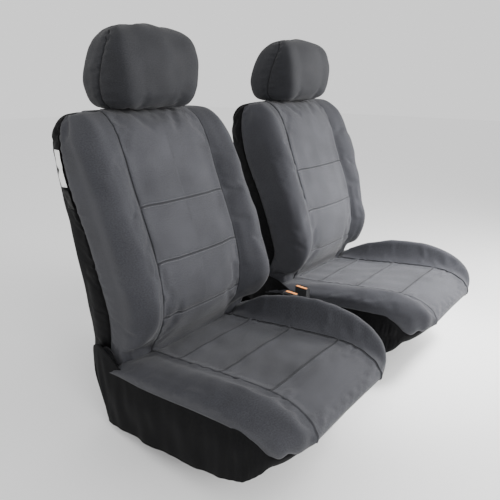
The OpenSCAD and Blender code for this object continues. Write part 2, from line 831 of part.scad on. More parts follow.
module guide_button() {
    color(black_plastic) leaning()
        translate([-post_x - collar_r - 2, -3, collar_top - 3.7])
            cube([collar_r - post_r - 1.6, 6, 2.4]);
}

post_low = frame_top - 150;
post_high = back_h + cover_out + 8 + headrest_h - 70;
post_joint_r = 0.9 * post_r;

module headrest_posts() {
    notch_pitch = headrest_lift / 3;
    color(steel) leaning() difference() {
        union() {
            for (x = [-post_x, post_x]) translate([x, 0, 0]) {
                translate([0, 0, post_low]) cylinder(r = post_r, h = post_high - post_low);
                translate([0, 0, post_high]) sphere(r = post_r);
            }
            rod_x(post_r, -post_x, post_x, 0, post_high);
        }
        for (k = [0 : 3])
            translate([-post_x - post_r - 1, -post_r, collar_top - 6 - k * notch_pitch])
                cube([2.2, 2 * post_r, 5]);
    }
}

module hoop_pocket() {
    r = post_r + soft_gap;
    leaning() {
        for (x = [-post_x, post_x])
            translate([x, 0, collar_top - 20]) cylinder(r = r, h = post_high - collar_top + 20);
        translate([-post_x - r, -r, post_high - r]) cube([2 * (post_x + r), 2 * r, 2 * r]);
    }
}

module headrest_foam() {
    color(foam_colour) difference() {
        headrest_shape(0);
        hoop_pocket();
    }
}

module headrest_cover() {
    color(charcoal) difference() {
        headrest_shape(cover_out);
        headrest_shape(soft_gap);
        hoop_pocket();
    }
}

driver() lower_rails();  // driver_lower_rails
driver() upper_rails();  // driver_upper_rails
driver() release_bar();  // driver_release_bar
driver() cushion_frame();  // driver_cushion_frame
driver() cushion_springs();  // driver_cushion_springs
driver() cushion_foam();  // driver_cushion_foam
driver() cushion_centre_cover();  // driver_cushion_centre_cover
driver() cushion_bolster_cover();  // driver_cushion_bolster_cover
driver() skirt();  // driver_skirt
driver() tie_straps();  // driver_tie_straps
driver() strap_buckles();  // driver_strap_buckles
driver() recline_pivots();  // driver_recline_pivots
driver() recline_lever();  // driver_recline_lever
driver() buckle_anchor();  // driver_buckle_anchor
driver() buckle_stalk();  // driver_buckle_stalk
driver() buckle_housing();  // driver_buckle_housing
driver() buckle_button();  // driver_buckle_button
driver() back_frame();  // driver_back_frame
driver() back_springs();  // driver_back_springs
driver() back_foam();  // driver_back_foam
driver() back_centre_cover();  // driver_back_centre_cover
driver() back_bolster_cover();  // driver_back_bolster_cover
driver() back_side_panels();  // driver_back_side_panels
driver() back_rear_panel();  // driver_back_rear_panel
driver() sewn_labels();  // driver_sewn_labels
driver() headrest_guides();  // driver_headrest_guides
driver() guide_button();  // driver_guide_button
driver() headrest_posts();  // driver_headrest_posts
driver() headrest_foam();  // driver_headrest_foam
driver() headrest_cover();  // driver_headrest_cover
passenger() lower_rails();  // passenger_lower_rails
passenger() upper_rails();  // passenger_upper_rails
passenger() release_bar();  // passenger_release_bar
passenger() cushion_frame();  // passenger_cushion_frame
passenger() cushion_springs();  // passenger_cushion_springs
passenger() cushion_foam();  // passenger_cushion_foam
passenger() cushion_centre_cover();  // passenger_cushion_centre_cover
passenger() cushion_bolster_cover();  // passenger_cushion_bolster_cover
passenger() skirt();  // passenger_skirt
passenger() tie_straps();  // passenger_tie_straps
passenger() strap_buckles();  // passenger_strap_buckles
passenger() recline_pivots();  // passenger_recline_pivots
passenger() recline_lever();  // passenger_recline_lever
passenger() buckle_anchor();  // passenger_buckle_anchor
passenger() buckle_stalk();  // passenger_buckle_stalk
passenger() buckle_housing();  // passenger_buckle_housing
passenger() buckle_button();  // passenger_buckle_button
passenger() back_frame();  // passenger_back_frame
passenger() back_springs();  // passenger_back_springs
passenger() back_foam();  // passenger_back_foam
passenger() back_centre_cover();  // passenger_back_centre_cover
passenger() back_bolster_cover();  // passenger_back_bolster_cover
passenger() back_side_panels();  // passenger_back_side_panels
passenger() back_rear_panel();  // passenger_back_rear_panel
passenger() sewn_labels();  // passenger_sewn_labels
passenger() headrest_guides();  // passenger_headrest_guides
passenger() guide_button();  // passenger_guide_button
passenger() headrest_posts();  // passenger_headrest_posts
passenger() headrest_foam();  // passenger_headrest_foam
passenger() headrest_cover();  // passenger_headrest_cover
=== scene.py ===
import json
import math

import bpy
import numpy as np
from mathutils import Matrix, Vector


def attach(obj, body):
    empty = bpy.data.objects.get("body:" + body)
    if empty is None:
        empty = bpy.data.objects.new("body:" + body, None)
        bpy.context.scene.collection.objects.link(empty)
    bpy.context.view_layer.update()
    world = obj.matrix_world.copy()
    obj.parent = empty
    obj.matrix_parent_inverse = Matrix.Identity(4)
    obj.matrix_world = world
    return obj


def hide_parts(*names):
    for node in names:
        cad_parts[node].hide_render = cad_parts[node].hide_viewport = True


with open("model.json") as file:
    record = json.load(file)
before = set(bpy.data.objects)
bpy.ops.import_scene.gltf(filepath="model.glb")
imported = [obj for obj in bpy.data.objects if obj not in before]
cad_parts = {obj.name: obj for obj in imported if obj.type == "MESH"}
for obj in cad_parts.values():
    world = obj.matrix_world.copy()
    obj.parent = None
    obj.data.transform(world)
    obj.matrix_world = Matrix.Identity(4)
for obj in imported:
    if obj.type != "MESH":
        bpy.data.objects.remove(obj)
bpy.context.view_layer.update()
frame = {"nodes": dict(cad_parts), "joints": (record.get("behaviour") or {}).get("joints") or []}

# A pair of front bucket seats in a fitted cover set: metres, +Z up, seats face -Y.
# Seat coordinates: x towards the other seat, y from the recline pivot, z from the floor.

JOINTS = {j["name"]: j for j in frame["joints"]}
MM = 0.001
COVER_CLOTH = 2.5 * MM
SKIRT_CLOTH = 1.4 * MM
LABEL_CLOTH = 0.7 * MM
COVER_STEP = 6.5 * MM
HEADREST_STEP = 5 * MM
SKIRT_STEP = 6 * MM
# Stations that crowd beside each seam or channel, and the stitches beside a channel.
CROWD = (1, 2.2, 3.5, 4.6, 5.8, 8)
STITCH_SIDE = 4.6 * MM
STITCH_PITCH = 4.6 * MM
STITCH_LENGTH = 3.3 * MM
FOAM_PRESSURE = 4.0


def no_selection():
    for thing in bpy.context.selected_objects:
        thing.select_set(False)


no_selection()

# ---------------------------------------------------------------- camera, light and floor


def add_camera():
    data = bpy.data.cameras.new("camera")
    data.lens = 35.0
    data.sensor_width = 36.0
    camera = bpy.data.objects.new("camera", data)
    camera.location = (-1.249, -0.838, 0.971)
    camera.rotation_euler = (math.radians(90 - 19.41), 0, math.radians(-49.94))
    bpy.context.scene.collection.objects.link(camera)
    bpy.context.scene.camera = camera


def add_area(name, place, target, size, power, tint=(1, 1, 1), spread=180):
    data = bpy.data.lights.new(name, "AREA")
    data.shape = "DISK"
    data.size = size
    data.energy = power
    data.color = tint
    data.spread = math.radians(spread)
    lamp = bpy.data.objects.new(name, data)
    lamp.location = place
    lamp.rotation_euler = (Vector(target) - Vector(place)).to_track_quat("-Z", "Y").to_euler()
    bpy.context.scene.collection.objects.link(lamp)


def add_studio():
    world = bpy.data.worlds.new("studio")
    world.use_nodes = True
    sky = world.node_tree.nodes["Background"]
    sky.inputs["Color"].default_value = (1.0, 1.0, 1.0, 1)
    sky.inputs["Strength"].default_value = 1.15
    bpy.context.scene.world = world
    add_area("key", (1.6, -1.5, 1.05), (0.2, 0, 0.4), 1.1, 42, (1.0, 0.99, 0.97))
    add_area("near_top", (1.1, -0.8, 1.25), (0.38, -0.2, 0.3), 0.6, 24)
    add_area("fill", (-1.2, -2.3, 1.5), (0.2, 0, 0.4), 1.4, 34)
    add_area("far_cushion", (0.50, -0.85, 1.55), (0.40, -0.18, 0.35), 0.35, 5, spread=50)
    bpy.ops.mesh.primitive_plane_add(size=24, location=(0, 0, 0))
    floor = bpy.context.object
    floor.name = "floor"
    paint = bpy.data.materials.new("pale_floor")
    paint.use_nodes = True
    surface = paint.node_tree.nodes["Principled BSDF"]
    surface.inputs["Base Color"].default_value = (0.93, 0.93, 0.93, 1)
    surface.inputs["Roughness"].default_value = 0.9
    floor.data.materials.append(paint)
    no_selection()


# ---------------------------------------------------------------- curves and grids


def smooth_curve(x, p, q):
    """Cubic curve through the points p at x, read at q."""
    x = np.asarray(x, float)
    p = np.asarray(p, float)
    q = np.asarray(q, float)
    slope = np.gradient(p, x, axis=0)
    i = np.clip(np.searchsorted(x, q, "right") - 1, 0, len(x) - 2)
    shape = (-1,) + (1,) * (p.ndim - 1)
    h = (x[i + 1] - x[i]).reshape(shape)
    s = ((q - x[i]) / (x[i + 1] - x[i])).reshape(shape)
    return ((1 + 2 * s) * (1 - s) ** 2 * p[i] + s * (1 - s) ** 2 * h * slope[i]
            + s * s * (3 - 2 * s) * p[i + 1] + s * s * (s - 1) * h * slope[i + 1])


def around(x, p, q, turn):
    """The same on a closed loop of length turn along the first axis."""
    wide = np.concatenate([x[-3:] - turn, x, x[:3] + turn])
    return smooth_curve(wide, np.concatenate([p[-3:], p, p[:3]]), np.mod(q, turn))


def spaced(length, step, lines=()):
    """Stations 0..length about step apart, crowded beside each line."""
    crowd = [line + side * n * MM for line in lines for n in CROWD for side in (-1, 1)]
    crowd = [c for c in crowd + list(lines) if 0 < c < length]
    even = np.linspace(0, length, int(round(length / step)) + 1)
    keep = [e for e in even[1:-1] if not crowd or np.min(np.abs(np.array(crowd) - e)) > 0.5 * step]
    stations = np.array(sorted([0.0, length] + keep + crowd))
    clear = np.concatenate([[True], np.diff(stations) > 0.4 * MM])
    return stations[clear]


class Surface:
    """A smooth skin through rows of key points, read at (v, u): v along rows, u across columns."""

    def __init__(self, keys, closed):
        keys = np.asarray(keys, float)
        self.closed = closed
        steps_v = np.linalg.norm(np.diff(keys, axis=0), axis=2).mean(1)
        self.v_keys = np.concatenate([[0], np.cumsum(steps_v)])
        loop = np.concatenate([keys, keys[:, :1]], 1) if closed else keys
        steps_u = np.linalg.norm(np.diff(loop, axis=1), axis=2).mean(0)
        steps_u = (steps_u + steps_u[::-1]) / 2
        ends = np.concatenate([[0], np.cumsum(steps_u)])
        self.u_keys = ends[:-1] if closed else ends
        self.v_len = self.v_keys[-1]
        self.u_len = ends[-1]
        self.keys = keys
        self.puff = None

    def base(self, v, u):
        rows = np.swapaxes(smooth_curve(self.v_keys, self.keys, v), 0, 1)
        if self.closed:
            return np.swapaxes(around(self.u_keys, rows, u, self.u_len), 0, 1)
        return np.swapaxes(smooth_curve(self.u_keys, rows, u), 0, 1)

    def grid(self, v, u):
        """The skin with what the cloth simulation added to it."""
        points = self.base(v, u)
        if self.puff is None:
            return points
        cv, cu, move = self.puff
        rows = np.swapaxes(smooth_curve(cv, move, v), 0, 1)
        if self.closed:
            return points + np.swapaxes(around(cu, rows, u, self.u_len), 0, 1)
        return points + np.swapaxes(smooth_curve(cu, rows, u), 0, 1)


def grid_normals(points, closed):
    """Unit normals of a grid of points, outwards where u and v both grow."""
    if closed:
        wide = np.concatenate([points[:, -1:], points, points[:, :1]], 1)
        across = wide[:, 2:] - wide[:, :-2]
    else:
        across = np.gradient(points, axis=1)
    normal = np.cross(across, np.gradient(points, axis=0))
    return normal / np.maximum(np.linalg.norm(normal, axis=2, keepdims=True), 1e-9)


def waves(rng, count, shortest, longest, angle=None, spread=0.5):
    """A soft random ripple of the plane: a function of (v, u) with values near -1..1."""
    lengths = rng.uniform(shortest, longest, count)
    angles = rng.uniform(0, math.pi, count) if angle is None else rng.normal(angle, spread, count)
    phases = rng.uniform(0, 2 * math.pi, count)

    def ripple(v, u):
        total = 0
        for k in range(count):
            along = u * math.cos(angles[k]) + v * math.sin(angles[k])
            total = total + np.sin(2 * math.pi * along / lengths[k] + phases[k])
        return total / math.sqrt(count)

    return ripple


def bump_at(distance, depth, width):
    """A rounded ridge: depth on the line, gone about two widths from it."""
    return depth * np.exp(-((distance / width) ** 2))


# ---------------------------------------------------------------- key points of the covers

# Each column runs from the crease to the far end; rows share their place in the list.
# Cushion: (y, z) of the centre line, then of the columns outwards with their x.
CUSHION_CENTRE = [
    (-0.070, 0.232), (-0.100, 0.2445), (-0.195, 0.258), (-0.350, 0.282), (-0.507, 0.3005),
    (-0.557, 0.299), (-0.596, 0.288), (-0.622, 0.272), (-0.633, 0.257), (-0.6375, 0.247),
    (-0.6385, 0.240), (-0.637, 0.233)
]
# The fuller bolster, then the flatter one on the seat's other side.
CUSHION_CREST = [
    (-0.074, 0.240), (-0.120, 0.270), (-0.200, 0.314), (-0.335, 0.353), (-0.470, 0.359),
    (-0.542, 0.344), (-0.590, 0.320), (-0.614, 0.297), (-0.624, 0.274), (-0.627, 0.252),
    (-0.624, 0.232), (-0.615, 0.214)
]
CUSHION_LOW_CREST = [
    (-0.074, 0.236), (-0.120, 0.253), (-0.200, 0.270), (-0.335, 0.298), (-0.470, 0.317),
    (-0.542, 0.315), (-0.590, 0.302), (-0.614, 0.286), (-0.624, 0.269), (-0.627, 0.250),
    (-0.624, 0.231), (-0.615, 0.214)
]
CUSHION_SIDE = [
    (-0.060, 0.222), (-0.110, 0.246), (-0.195, 0.277), (-0.320, 0.307), (-0.440, 0.316),
    (-0.507, 0.309), (-0.550, 0.293), (-0.575, 0.274), (-0.588, 0.253), (-0.594, 0.234),
    (-0.595, 0.218), (-0.591, 0.206)
]
CUSHION_LOW_SIDE = [
    (-0.060, 0.219), (-0.110, 0.236), (-0.195, 0.251), (-0.320, 0.272), (-0.440, 0.289),
    (-0.507, 0.289), (-0.550, 0.280), (-0.575, 0.266), (-0.588, 0.249), (-0.594, 0.232),
    (-0.595, 0.217), (-0.591, 0.206)
]
CUSHION_SIDE_X = [0.262, 0.263, 0.264, 0.264, 0.262, 0.258, 0.251, 0.244, 0.238, 0.232, 0.226, 0.219]
CUSHION_HEM = [
    (-0.030, 0.204), (-0.080, 0.211), (-0.170, 0.218), (-0.290, 0.234), (-0.410, 0.251),
    (-0.480, 0.256), (-0.525, 0.250), (-0.548, 0.237), (-0.559, 0.224), (-0.566, 0.214),
    (-0.570, 0.208), (-0.573, 0.203)
]
CUSHION_HEM_X = [0.263, 0.264, 0.265, 0.265, 0.264, 0.261, 0.254, 0.246, 0.240, 0.235, 0.230, 0.225]
SEAM_X = 0.152
# Where the cushion's two long seams lie among its columns, and its channels among its rows.
CUSHION_SEAMS = [5, 11]
CUSHION_CHANNELS = [2, 3, 4]

BACK_CENTRE = [
    (0.000, 0.1425), (-0.055, 0.162), (-0.079, 0.203), (-0.088, 0.252), (-0.123, 0.303),
    (-0.148, 0.361), (-0.153, 0.437), (-0.138, 0.515), (-0.113, 0.585), (-0.084, 0.657),
    (-0.062, 0.710), (-0.044, 0.760), (-0.024, 0.814), (0.008, 0.862), (0.046, 0.886), (0.080, 0.893)
]
BACK_CREST = [
    (0.000, 0.1425), (-0.055, 0.164), (-0.077, 0.212), (-0.098, 0.276), (-0.160, 0.316),
    (-0.206, 0.362), (-0.219, 0.425), (-0.196, 0.500), (-0.163, 0.580), (-0.126, 0.650),
    (-0.100, 0.708), (-0.074, 0.760), (-0.044, 0.815), (-0.008, 0.860), (0.036, 0.885), (0.080, 0.892)
]
BACK_FRONT_SIDE = [
    (0.004, 0.1445), (-0.050, 0.168), (-0.072, 0.216), (-0.092, 0.272), (-0.146, 0.309),
    (-0.184, 0.356), (-0.192, 0.420), (-0.170, 0.495), (-0.138, 0.577), (-0.102, 0.646),
    (-0.076, 0.706), (-0.048, 0.759), (-0.016, 0.813), (0.022, 0.854), (0.056, 0.880), (0.084, 0.888)
]
BACK_DARK_SEAM = [
    (0.006, 0.146), (0.012, 0.175), (0.010, 0.215), (-0.006, 0.262), (-0.016, 0.312),
    (-0.014, 0.362), (0.000, 0.425), (0.018, 0.495), (0.036, 0.575), (0.056, 0.640),
    (0.076, 0.702), (0.090, 0.756), (0.099, 0.811), (0.100, 0.854), (0.097, 0.879), (0.092, 0.888)
]
BACK_REAR_SIDE = [
    (0.010, 0.1445), (0.058, 0.166), (0.079, 0.210), (0.086, 0.262), (0.090, 0.312),
    (0.095, 0.365), (0.101, 0.430), (0.109, 0.500), (0.120, 0.575), (0.132, 0.642),
    (0.142, 0.702), (0.149, 0.756), (0.153, 0.812), (0.149, 0.856), (0.130, 0.882), (0.098, 0.891)
]
BACK_REAR_CENTRE = [
    (0.010, 0.1425), (0.056, 0.160), (0.080, 0.204), (0.089, 0.256), (0.095, 0.310),
    (0.100, 0.365), (0.106, 0.430), (0.115, 0.500), (0.127, 0.575), (0.138, 0.642),
    (0.147, 0.702), (0.153, 0.758), (0.154, 0.815), (0.147, 0.858), (0.127, 0.884), (0.100, 0.893)
]
BACK_CREST_X = [
    0.215, 0.215, 0.215, 0.216, 0.218, 0.221, 0.222, 0.222,
    0.222, 0.222, 0.222, 0.222, 0.222, 0.220, 0.212, 0.188
]
BACK_OUTER_X = [
    0.224, 0.232, 0.2345, 0.2355, 0.243, 0.250, 0.252, 0.253,
    0.253, 0.253, 0.253, 0.253, 0.251, 0.244, 0.229, 0.198
]
BACK_REAR_X = [
    0.216, 0.224, 0.228, 0.230, 0.234, 0.237, 0.239, 0.241,
    0.243, 0.245, 0.245, 0.244, 0.240, 0.230, 0.213, 0.185
]
# How much of the bolster's fullness each row has; the two sides of a seat are cut differently.
BACK_FULLNESS = [0, 0, 0, 0.1, 0.5, 1.0, 1.0, 0.85, 0.5, 0.2, 0, 0, 0, 0, 0, 0]
# Columns of the long seam, the dark side seam and the rear seam, then the rows of the channels.
BACK_LONG_SEAM = 2
BACK_SIDE_SEAM = 8
BACK_REAR_SEAM = 10
BACK_CHANNELS = [5, 7, 9]

HEADREST_FRONT = [
    (0.052, 0.8950), (0.014, 0.8955), (-0.012, 0.910), (-0.026, 0.943), (-0.031, 0.986),
    (-0.029, 1.033), (-0.014, 1.072), (0.018, 1.098), (0.056, 1.107)
]
HEADREST_FACE_EDGE = [
    (0.054, 0.8955), (0.018, 0.897), (-0.004, 0.912), (-0.016, 0.945), (-0.020, 0.986),
    (-0.018, 1.031), (-0.005, 1.068), (0.022, 1.092), (0.056, 1.101)
]
HEADREST_SEAM = [
    (0.062, 0.8965), (0.066, 0.900), (0.070, 0.917), (0.066, 0.948), (0.054, 0.986),
    (0.040, 1.026), (0.030, 1.059), (0.038, 1.085), (0.060, 1.096)
]
HEADREST_REAR_EDGE = [
    (0.072, 0.8955), (0.114, 0.897), (0.141, 0.911), (0.153, 0.946), (0.148, 0.988),
    (0.132, 1.033), (0.110, 1.070), (0.085, 1.092), (0.064, 1.101)
]
HEADREST_REAR = [
    (0.074, 0.8950), (0.119, 0.8955), (0.148, 0.910), (0.160, 0.947), (0.154, 0.990),
    (0.138, 1.036), (0.115, 1.075), (0.089, 1.098), (0.068, 1.107)
]
HEADREST_FACE_X = [0.076, 0.097, 0.110, 0.121, 0.127, 0.127, 0.120, 0.102, 0.074]
HEADREST_SEAM_X = [0.092, 0.118, 0.134, 0.143, 0.145, 0.142, 0.132, 0.113, 0.086]
HEADREST_REAR_X = [0.082, 0.105, 0.119, 0.127, 0.127, 0.122, 0.110, 0.092, 0.070]
HEADREST_SIDE_SEAM = 4


def column(x, profile, dy=0.0, dz=0.0):
    """One column of key points at x, which is one value or one for each row."""
    xs = np.broadcast_to(x, (len(profile),))
    return np.array([(a, y + dy, z + dz) for a, (y, z) in zip(xs, profile)])


def mixed(a, b, share, **shift):
    """Points between two columns, moved by the x, y and z given."""
    return np.asarray(a) * (1 - share) + np.asarray(b) * share + np.array(
        [shift.get("x", 0), shift.get("y", 0), shift.get("z", 0)])


def mirror_x(points):
    return points * np.array([-1, 1, 1])


def cushion_half(crest_profile, side_profile, rise):
    """Columns of half a cushion, from beside its centre line out to the hem."""
    centre = column(0, CUSHION_CENTRE)
    seam = column(SEAM_X, CUSHION_CENTRE, dz=-0.003)
    crest = column(0.205, crest_profile)
    crest[6:, 0] -= [0.002, 0.004, 0.006, 0.008, 0.010, 0.012]
    side = column(CUSHION_SIDE_X, side_profile)
    hem = column(CUSHION_HEM_X, CUSHION_HEM)
    return [mixed(centre, seam, 0.5), mixed(centre, seam, 0.9), seam, mixed(seam, crest, 0.45, z=-rise),
            crest, mixed(crest, side, 0.55, z=0.008), side, hem]


def cushion_surface(low_side):
    """Open skin over the cushion: its columns run from the outboard hem over to the inboard hem."""
    full = cushion_half(CUSHION_CREST, CUSHION_SIDE, 0.010)
    flat = cushion_half(CUSHION_LOW_CREST, CUSHION_LOW_SIDE, 0.0)
    inboard, outboard = (flat, full) if low_side == "inboard" else (full, flat)
    columns = [mirror_x(c) for c in reversed(outboard)] + [column(0, CUSHION_CENTRE)] + inboard
    return Surface(np.stack(columns, 1), closed=False)


def loop_surface(inboard, rear, outboard):
    """Closed skin from the front centre round the inboard side, the rear and the outboard side."""
    columns = inboard + [rear] + [mirror_x(c) for c in reversed(outboard[1:])]
    return Surface(np.stack(columns, 1), closed=True)


def shifted(points, share, x=0.0, y=0.0):
    """A column moved by x and y, each row by its own share."""
    return points + np.outer(share, (x, y, 0))


def back_half(crest_cut, side_cut, seam_forward, rear_cut):
    """Columns of one side of the backrest; the cuts take fullness off its bolster as (x, y)."""
    centre = column(0, BACK_CENTRE)
    seam = column(SEAM_X, BACK_CENTRE, dy=0.003)
    seam[13:, 0] = [0.150, 0.146, 0.138]
    seam[:3, 0] = [0.145, 0.150, 0.152]
    full = BACK_FULLNESS
    crest = shifted(column(BACK_CREST_X, BACK_CREST), full, *crest_cut)
    front_side = shifted(column(BACK_OUTER_X, BACK_FRONT_SIDE), full, *side_cut)
    dark = shifted(column(np.array(BACK_OUTER_X) + 0.001, BACK_DARK_SEAM), full, side_cut[0], seam_forward)
    rear_side = shifted(column(BACK_REAR_X, BACK_REAR_SIDE), full, rear_cut)
    return [centre, mixed(centre, seam, 0.5), seam, mixed(seam, crest, 0.5), crest,
            mixed(crest, front_side, 0.6, y=-0.006), front_side,
            mixed(front_side, dark, 0.5, x=0.001), dark, mixed(dark, rear_side, 0.6, x=0.005),
            rear_side, mixed(rear_side, column(0, BACK_REAR_CENTRE), 0.3)]


def back_surface():
    """Closed skin round the backrest, its outboard bolster cut flatter."""
    inboard = back_half((0.0, 0.020), (0.0, 0.004), -0.045, 0.0)
    outboard = back_half((-0.018, 0.032), (-0.014, 0.034), 0.0, -0.002)
    return loop_surface(inboard, column(0, BACK_REAR_CENTRE), outboard)


def headrest_surface():
    """Closed skin round the headrest, alike on both sides."""
    front = column(0, HEADREST_FRONT)
    face = column(HEADREST_FACE_X, HEADREST_FACE_EDGE)
    seam = column(HEADREST_SEAM_X, HEADREST_SEAM)
    rear_edge = column(HEADREST_REAR_X, HEADREST_REAR_EDGE)
    rear = column(0, HEADREST_REAR)
    half = [front, mixed(front, face, 0.5, y=-0.002), face, mixed(face, seam, 0.5, x=0.004),
            seam, mixed(seam, rear_edge, 0.5, x=0.004), rear_edge, mixed(rear_edge, rear, 0.5, y=0.002)]
    return loop_surface(half, rear, half)


# ---------------------------------------------------------------- meshes


def grid_faces(rows, cols, closed):
    """Quads of a grid as corner indices, each with the column it starts at."""
    count = cols if closed else cols - 1
    row, column_at = (n.ravel() for n in np.meshgrid(np.arange(rows - 1), np.arange(count), indexing="ij"))
    beside = (column_at + 1) % cols
    low = row * cols
    high = low + cols
    quads = np.stack([low + column_at, low + beside, high + beside, high + column_at], 1)
    return quads, column_at


def cap_faces(cols, first, top):
    """Quads that close a flat loop end, joining each front column to the rear one behind it."""
    quads = []
    for j in range(cols // 2):
        quad = [first + j, first + j + 1, first + (cols - j - 1) % cols, first + (cols - j) % cols]
        quads.append(quad if top else quad[::-1])
    return quads


def both_caps(rows, cols):
    return cap_faces(cols, (rows - 1) * cols, True) + cap_faces(cols, 0, False)


def make_mesh(name, points, faces, uv=None, values=None):
    """A mesh object at the origin, with a cloth map and named values for its points."""
    mesh = bpy.data.meshes.new(name)
    mesh.from_pydata([tuple(p) for p in points], [], [tuple(int(n) for n in f) for f in faces])
    if uv is not None:
        layer = mesh.uv_layers.new(name="cloth")
        corner = np.zeros(len(mesh.loops), int)
        mesh.loops.foreach_get("vertex_index", corner)
        layer.data.foreach_set("uv", np.asarray(uv, np.float32)[corner].ravel())
    for key, data in (values or {}).items():
        field = mesh.attributes.new(key, "FLOAT", "POINT")
        field.data.foreach_set("value", np.asarray(data, np.float32))
    mesh.update()
    piece = bpy.data.objects.new(name, mesh)
    bpy.context.scene.collection.objects.link(piece)
    return piece


def apply_modifier(piece, kind, **settings):
    no_selection()
    modifier = piece.modifiers.new(kind.lower(), kind)
    for key, value in settings.items():
        setattr(modifier, key, value)
    bpy.context.view_layer.objects.active = piece
    piece.select_set(True)
    bpy.ops.object.modifier_apply(modifier=modifier.name)
    piece.select_set(False)


def smooth_shaded(piece):
    piece.data.polygons.foreach_set("use_smooth", np.ones(len(piece.data.polygons), bool))


def seat_points(side, points):
    """Seat coordinates to the shared frame; the passenger seat mirrors the driver's."""
    x0, y0, _ = JOINTS[f"{side}_recline"]["pos_m"]
    inboard = -math.copysign(1, x0)
    out = np.array(points, float).reshape(-1, 3)
    return np.stack([x0 + inboard * out[:, 0], y0 + out[:, 1], out[:, 2]], 1)


def seat_faces(side, faces):
    return [f[::-1] for f in faces] if side == "passenger" else faces


# ---------------------------------------------------------------- cloth simulation


def blow_up(surface, step, pinned, spare, cap):
    """Simulates the cover as cloth under light pressure from its foam, held at its seams."""
    rows = np.linspace(0, surface.v_len, int(surface.v_len / step) + 1)
    count = int(surface.u_len / step / 2) * 2
    cols = np.linspace(0, surface.u_len, count + 1)[: count if surface.closed else count + 1]
    flat = surface.base(rows, cols)
    points = flat.reshape(-1, 3)
    faces = grid_faces(len(rows), len(cols), surface.closed)[0].tolist()
    if surface.closed:
        faces += both_caps(len(rows), len(cols))
    else:
        index = np.arange(len(points)).reshape(len(rows), len(cols))
        rim = [index[0, ::-1], index[1:, 0], index[-1, 1:], index[-2:0:-1, -1]]
        faces.append(np.concatenate(rim)[::-1].tolist())
    piece = make_mesh("cloth_try", points, faces)
    v, u = np.meshgrid(rows, cols, indexing="ij")
    hold = pinned(v, u).ravel()
    group = piece.vertex_groups.new(name="pin")
    for index in np.nonzero(hold > 0.02)[0]:
        group.add([int(index)], float(min(hold[index], 1)), "REPLACE")
    cloth = piece.modifiers.new("cloth", "CLOTH").settings
    cloth.quality = 5
    cloth.mass = 0.2
    cloth.tension_stiffness = cloth.compression_stiffness = 12
    cloth.shear_stiffness = 6
    cloth.bending_stiffness = 0.6
    cloth.use_pressure = True
    cloth.uniform_pressure_force = FOAM_PRESSURE
    cloth.shrink_min = -spare
    cloth.vertex_group_mass = "pin"
    cloth.effector_weights.gravity = 0
    for number in range(1, 21):
        bpy.context.scene.frame_set(number)
    solved = piece.evaluated_get(bpy.context.evaluated_depsgraph_get())
    moved = np.zeros(len(points) * 3)
    solved.data.vertices.foreach_get("co", moved)
    move = moved.reshape(-1, 3)[: len(points)] - points
    length = np.linalg.norm(move, axis=1, keepdims=True)
    move *= np.minimum(1, cap / np.maximum(length, 1e-9))
    surface.puff = (rows, cols, move.reshape(flat.shape))
    bpy.data.objects.remove(piece)
    bpy.context.scene.frame_set(1)


# ---------------------------------------------------------------- finishes


def node(tree, kind, **values):
    """A new shader node, with its settings or its unlinked inputs set by name."""
    made = tree.nodes.new(kind)
    for key, value in values.items():
        if hasattr(made, key):
            setattr(made, key, value)
        else:
            made.inputs[key].default_value = value
    return made


def maths(tree, operation, a, b=None):
    made = tree.nodes.new("ShaderNodeMath")
    made.operation = operation
    for slot, value in zip(made.inputs, (a, b)):
        if value is None:
            continue
        if isinstance(value, (int, float)):
            slot.default_value = value
        else:
            tree.links.new(value, slot)
    return made.outputs[0]


def group_of(name, inputs, outputs):
    tree = bpy.data.node_groups.new(name, "ShaderNodeTree")
    for label, kind, value in inputs:
        made = tree.interface.new_socket(name=label, in_out="INPUT", socket_type=kind)
        if value is not None:
            made.default_value = value
    for label, kind in outputs:
        tree.interface.new_socket(name=label, in_out="OUTPUT", socket_type=kind)
    return tree, tree.nodes.new("NodeGroupInput"), tree.nodes.new("NodeGroupOutput")


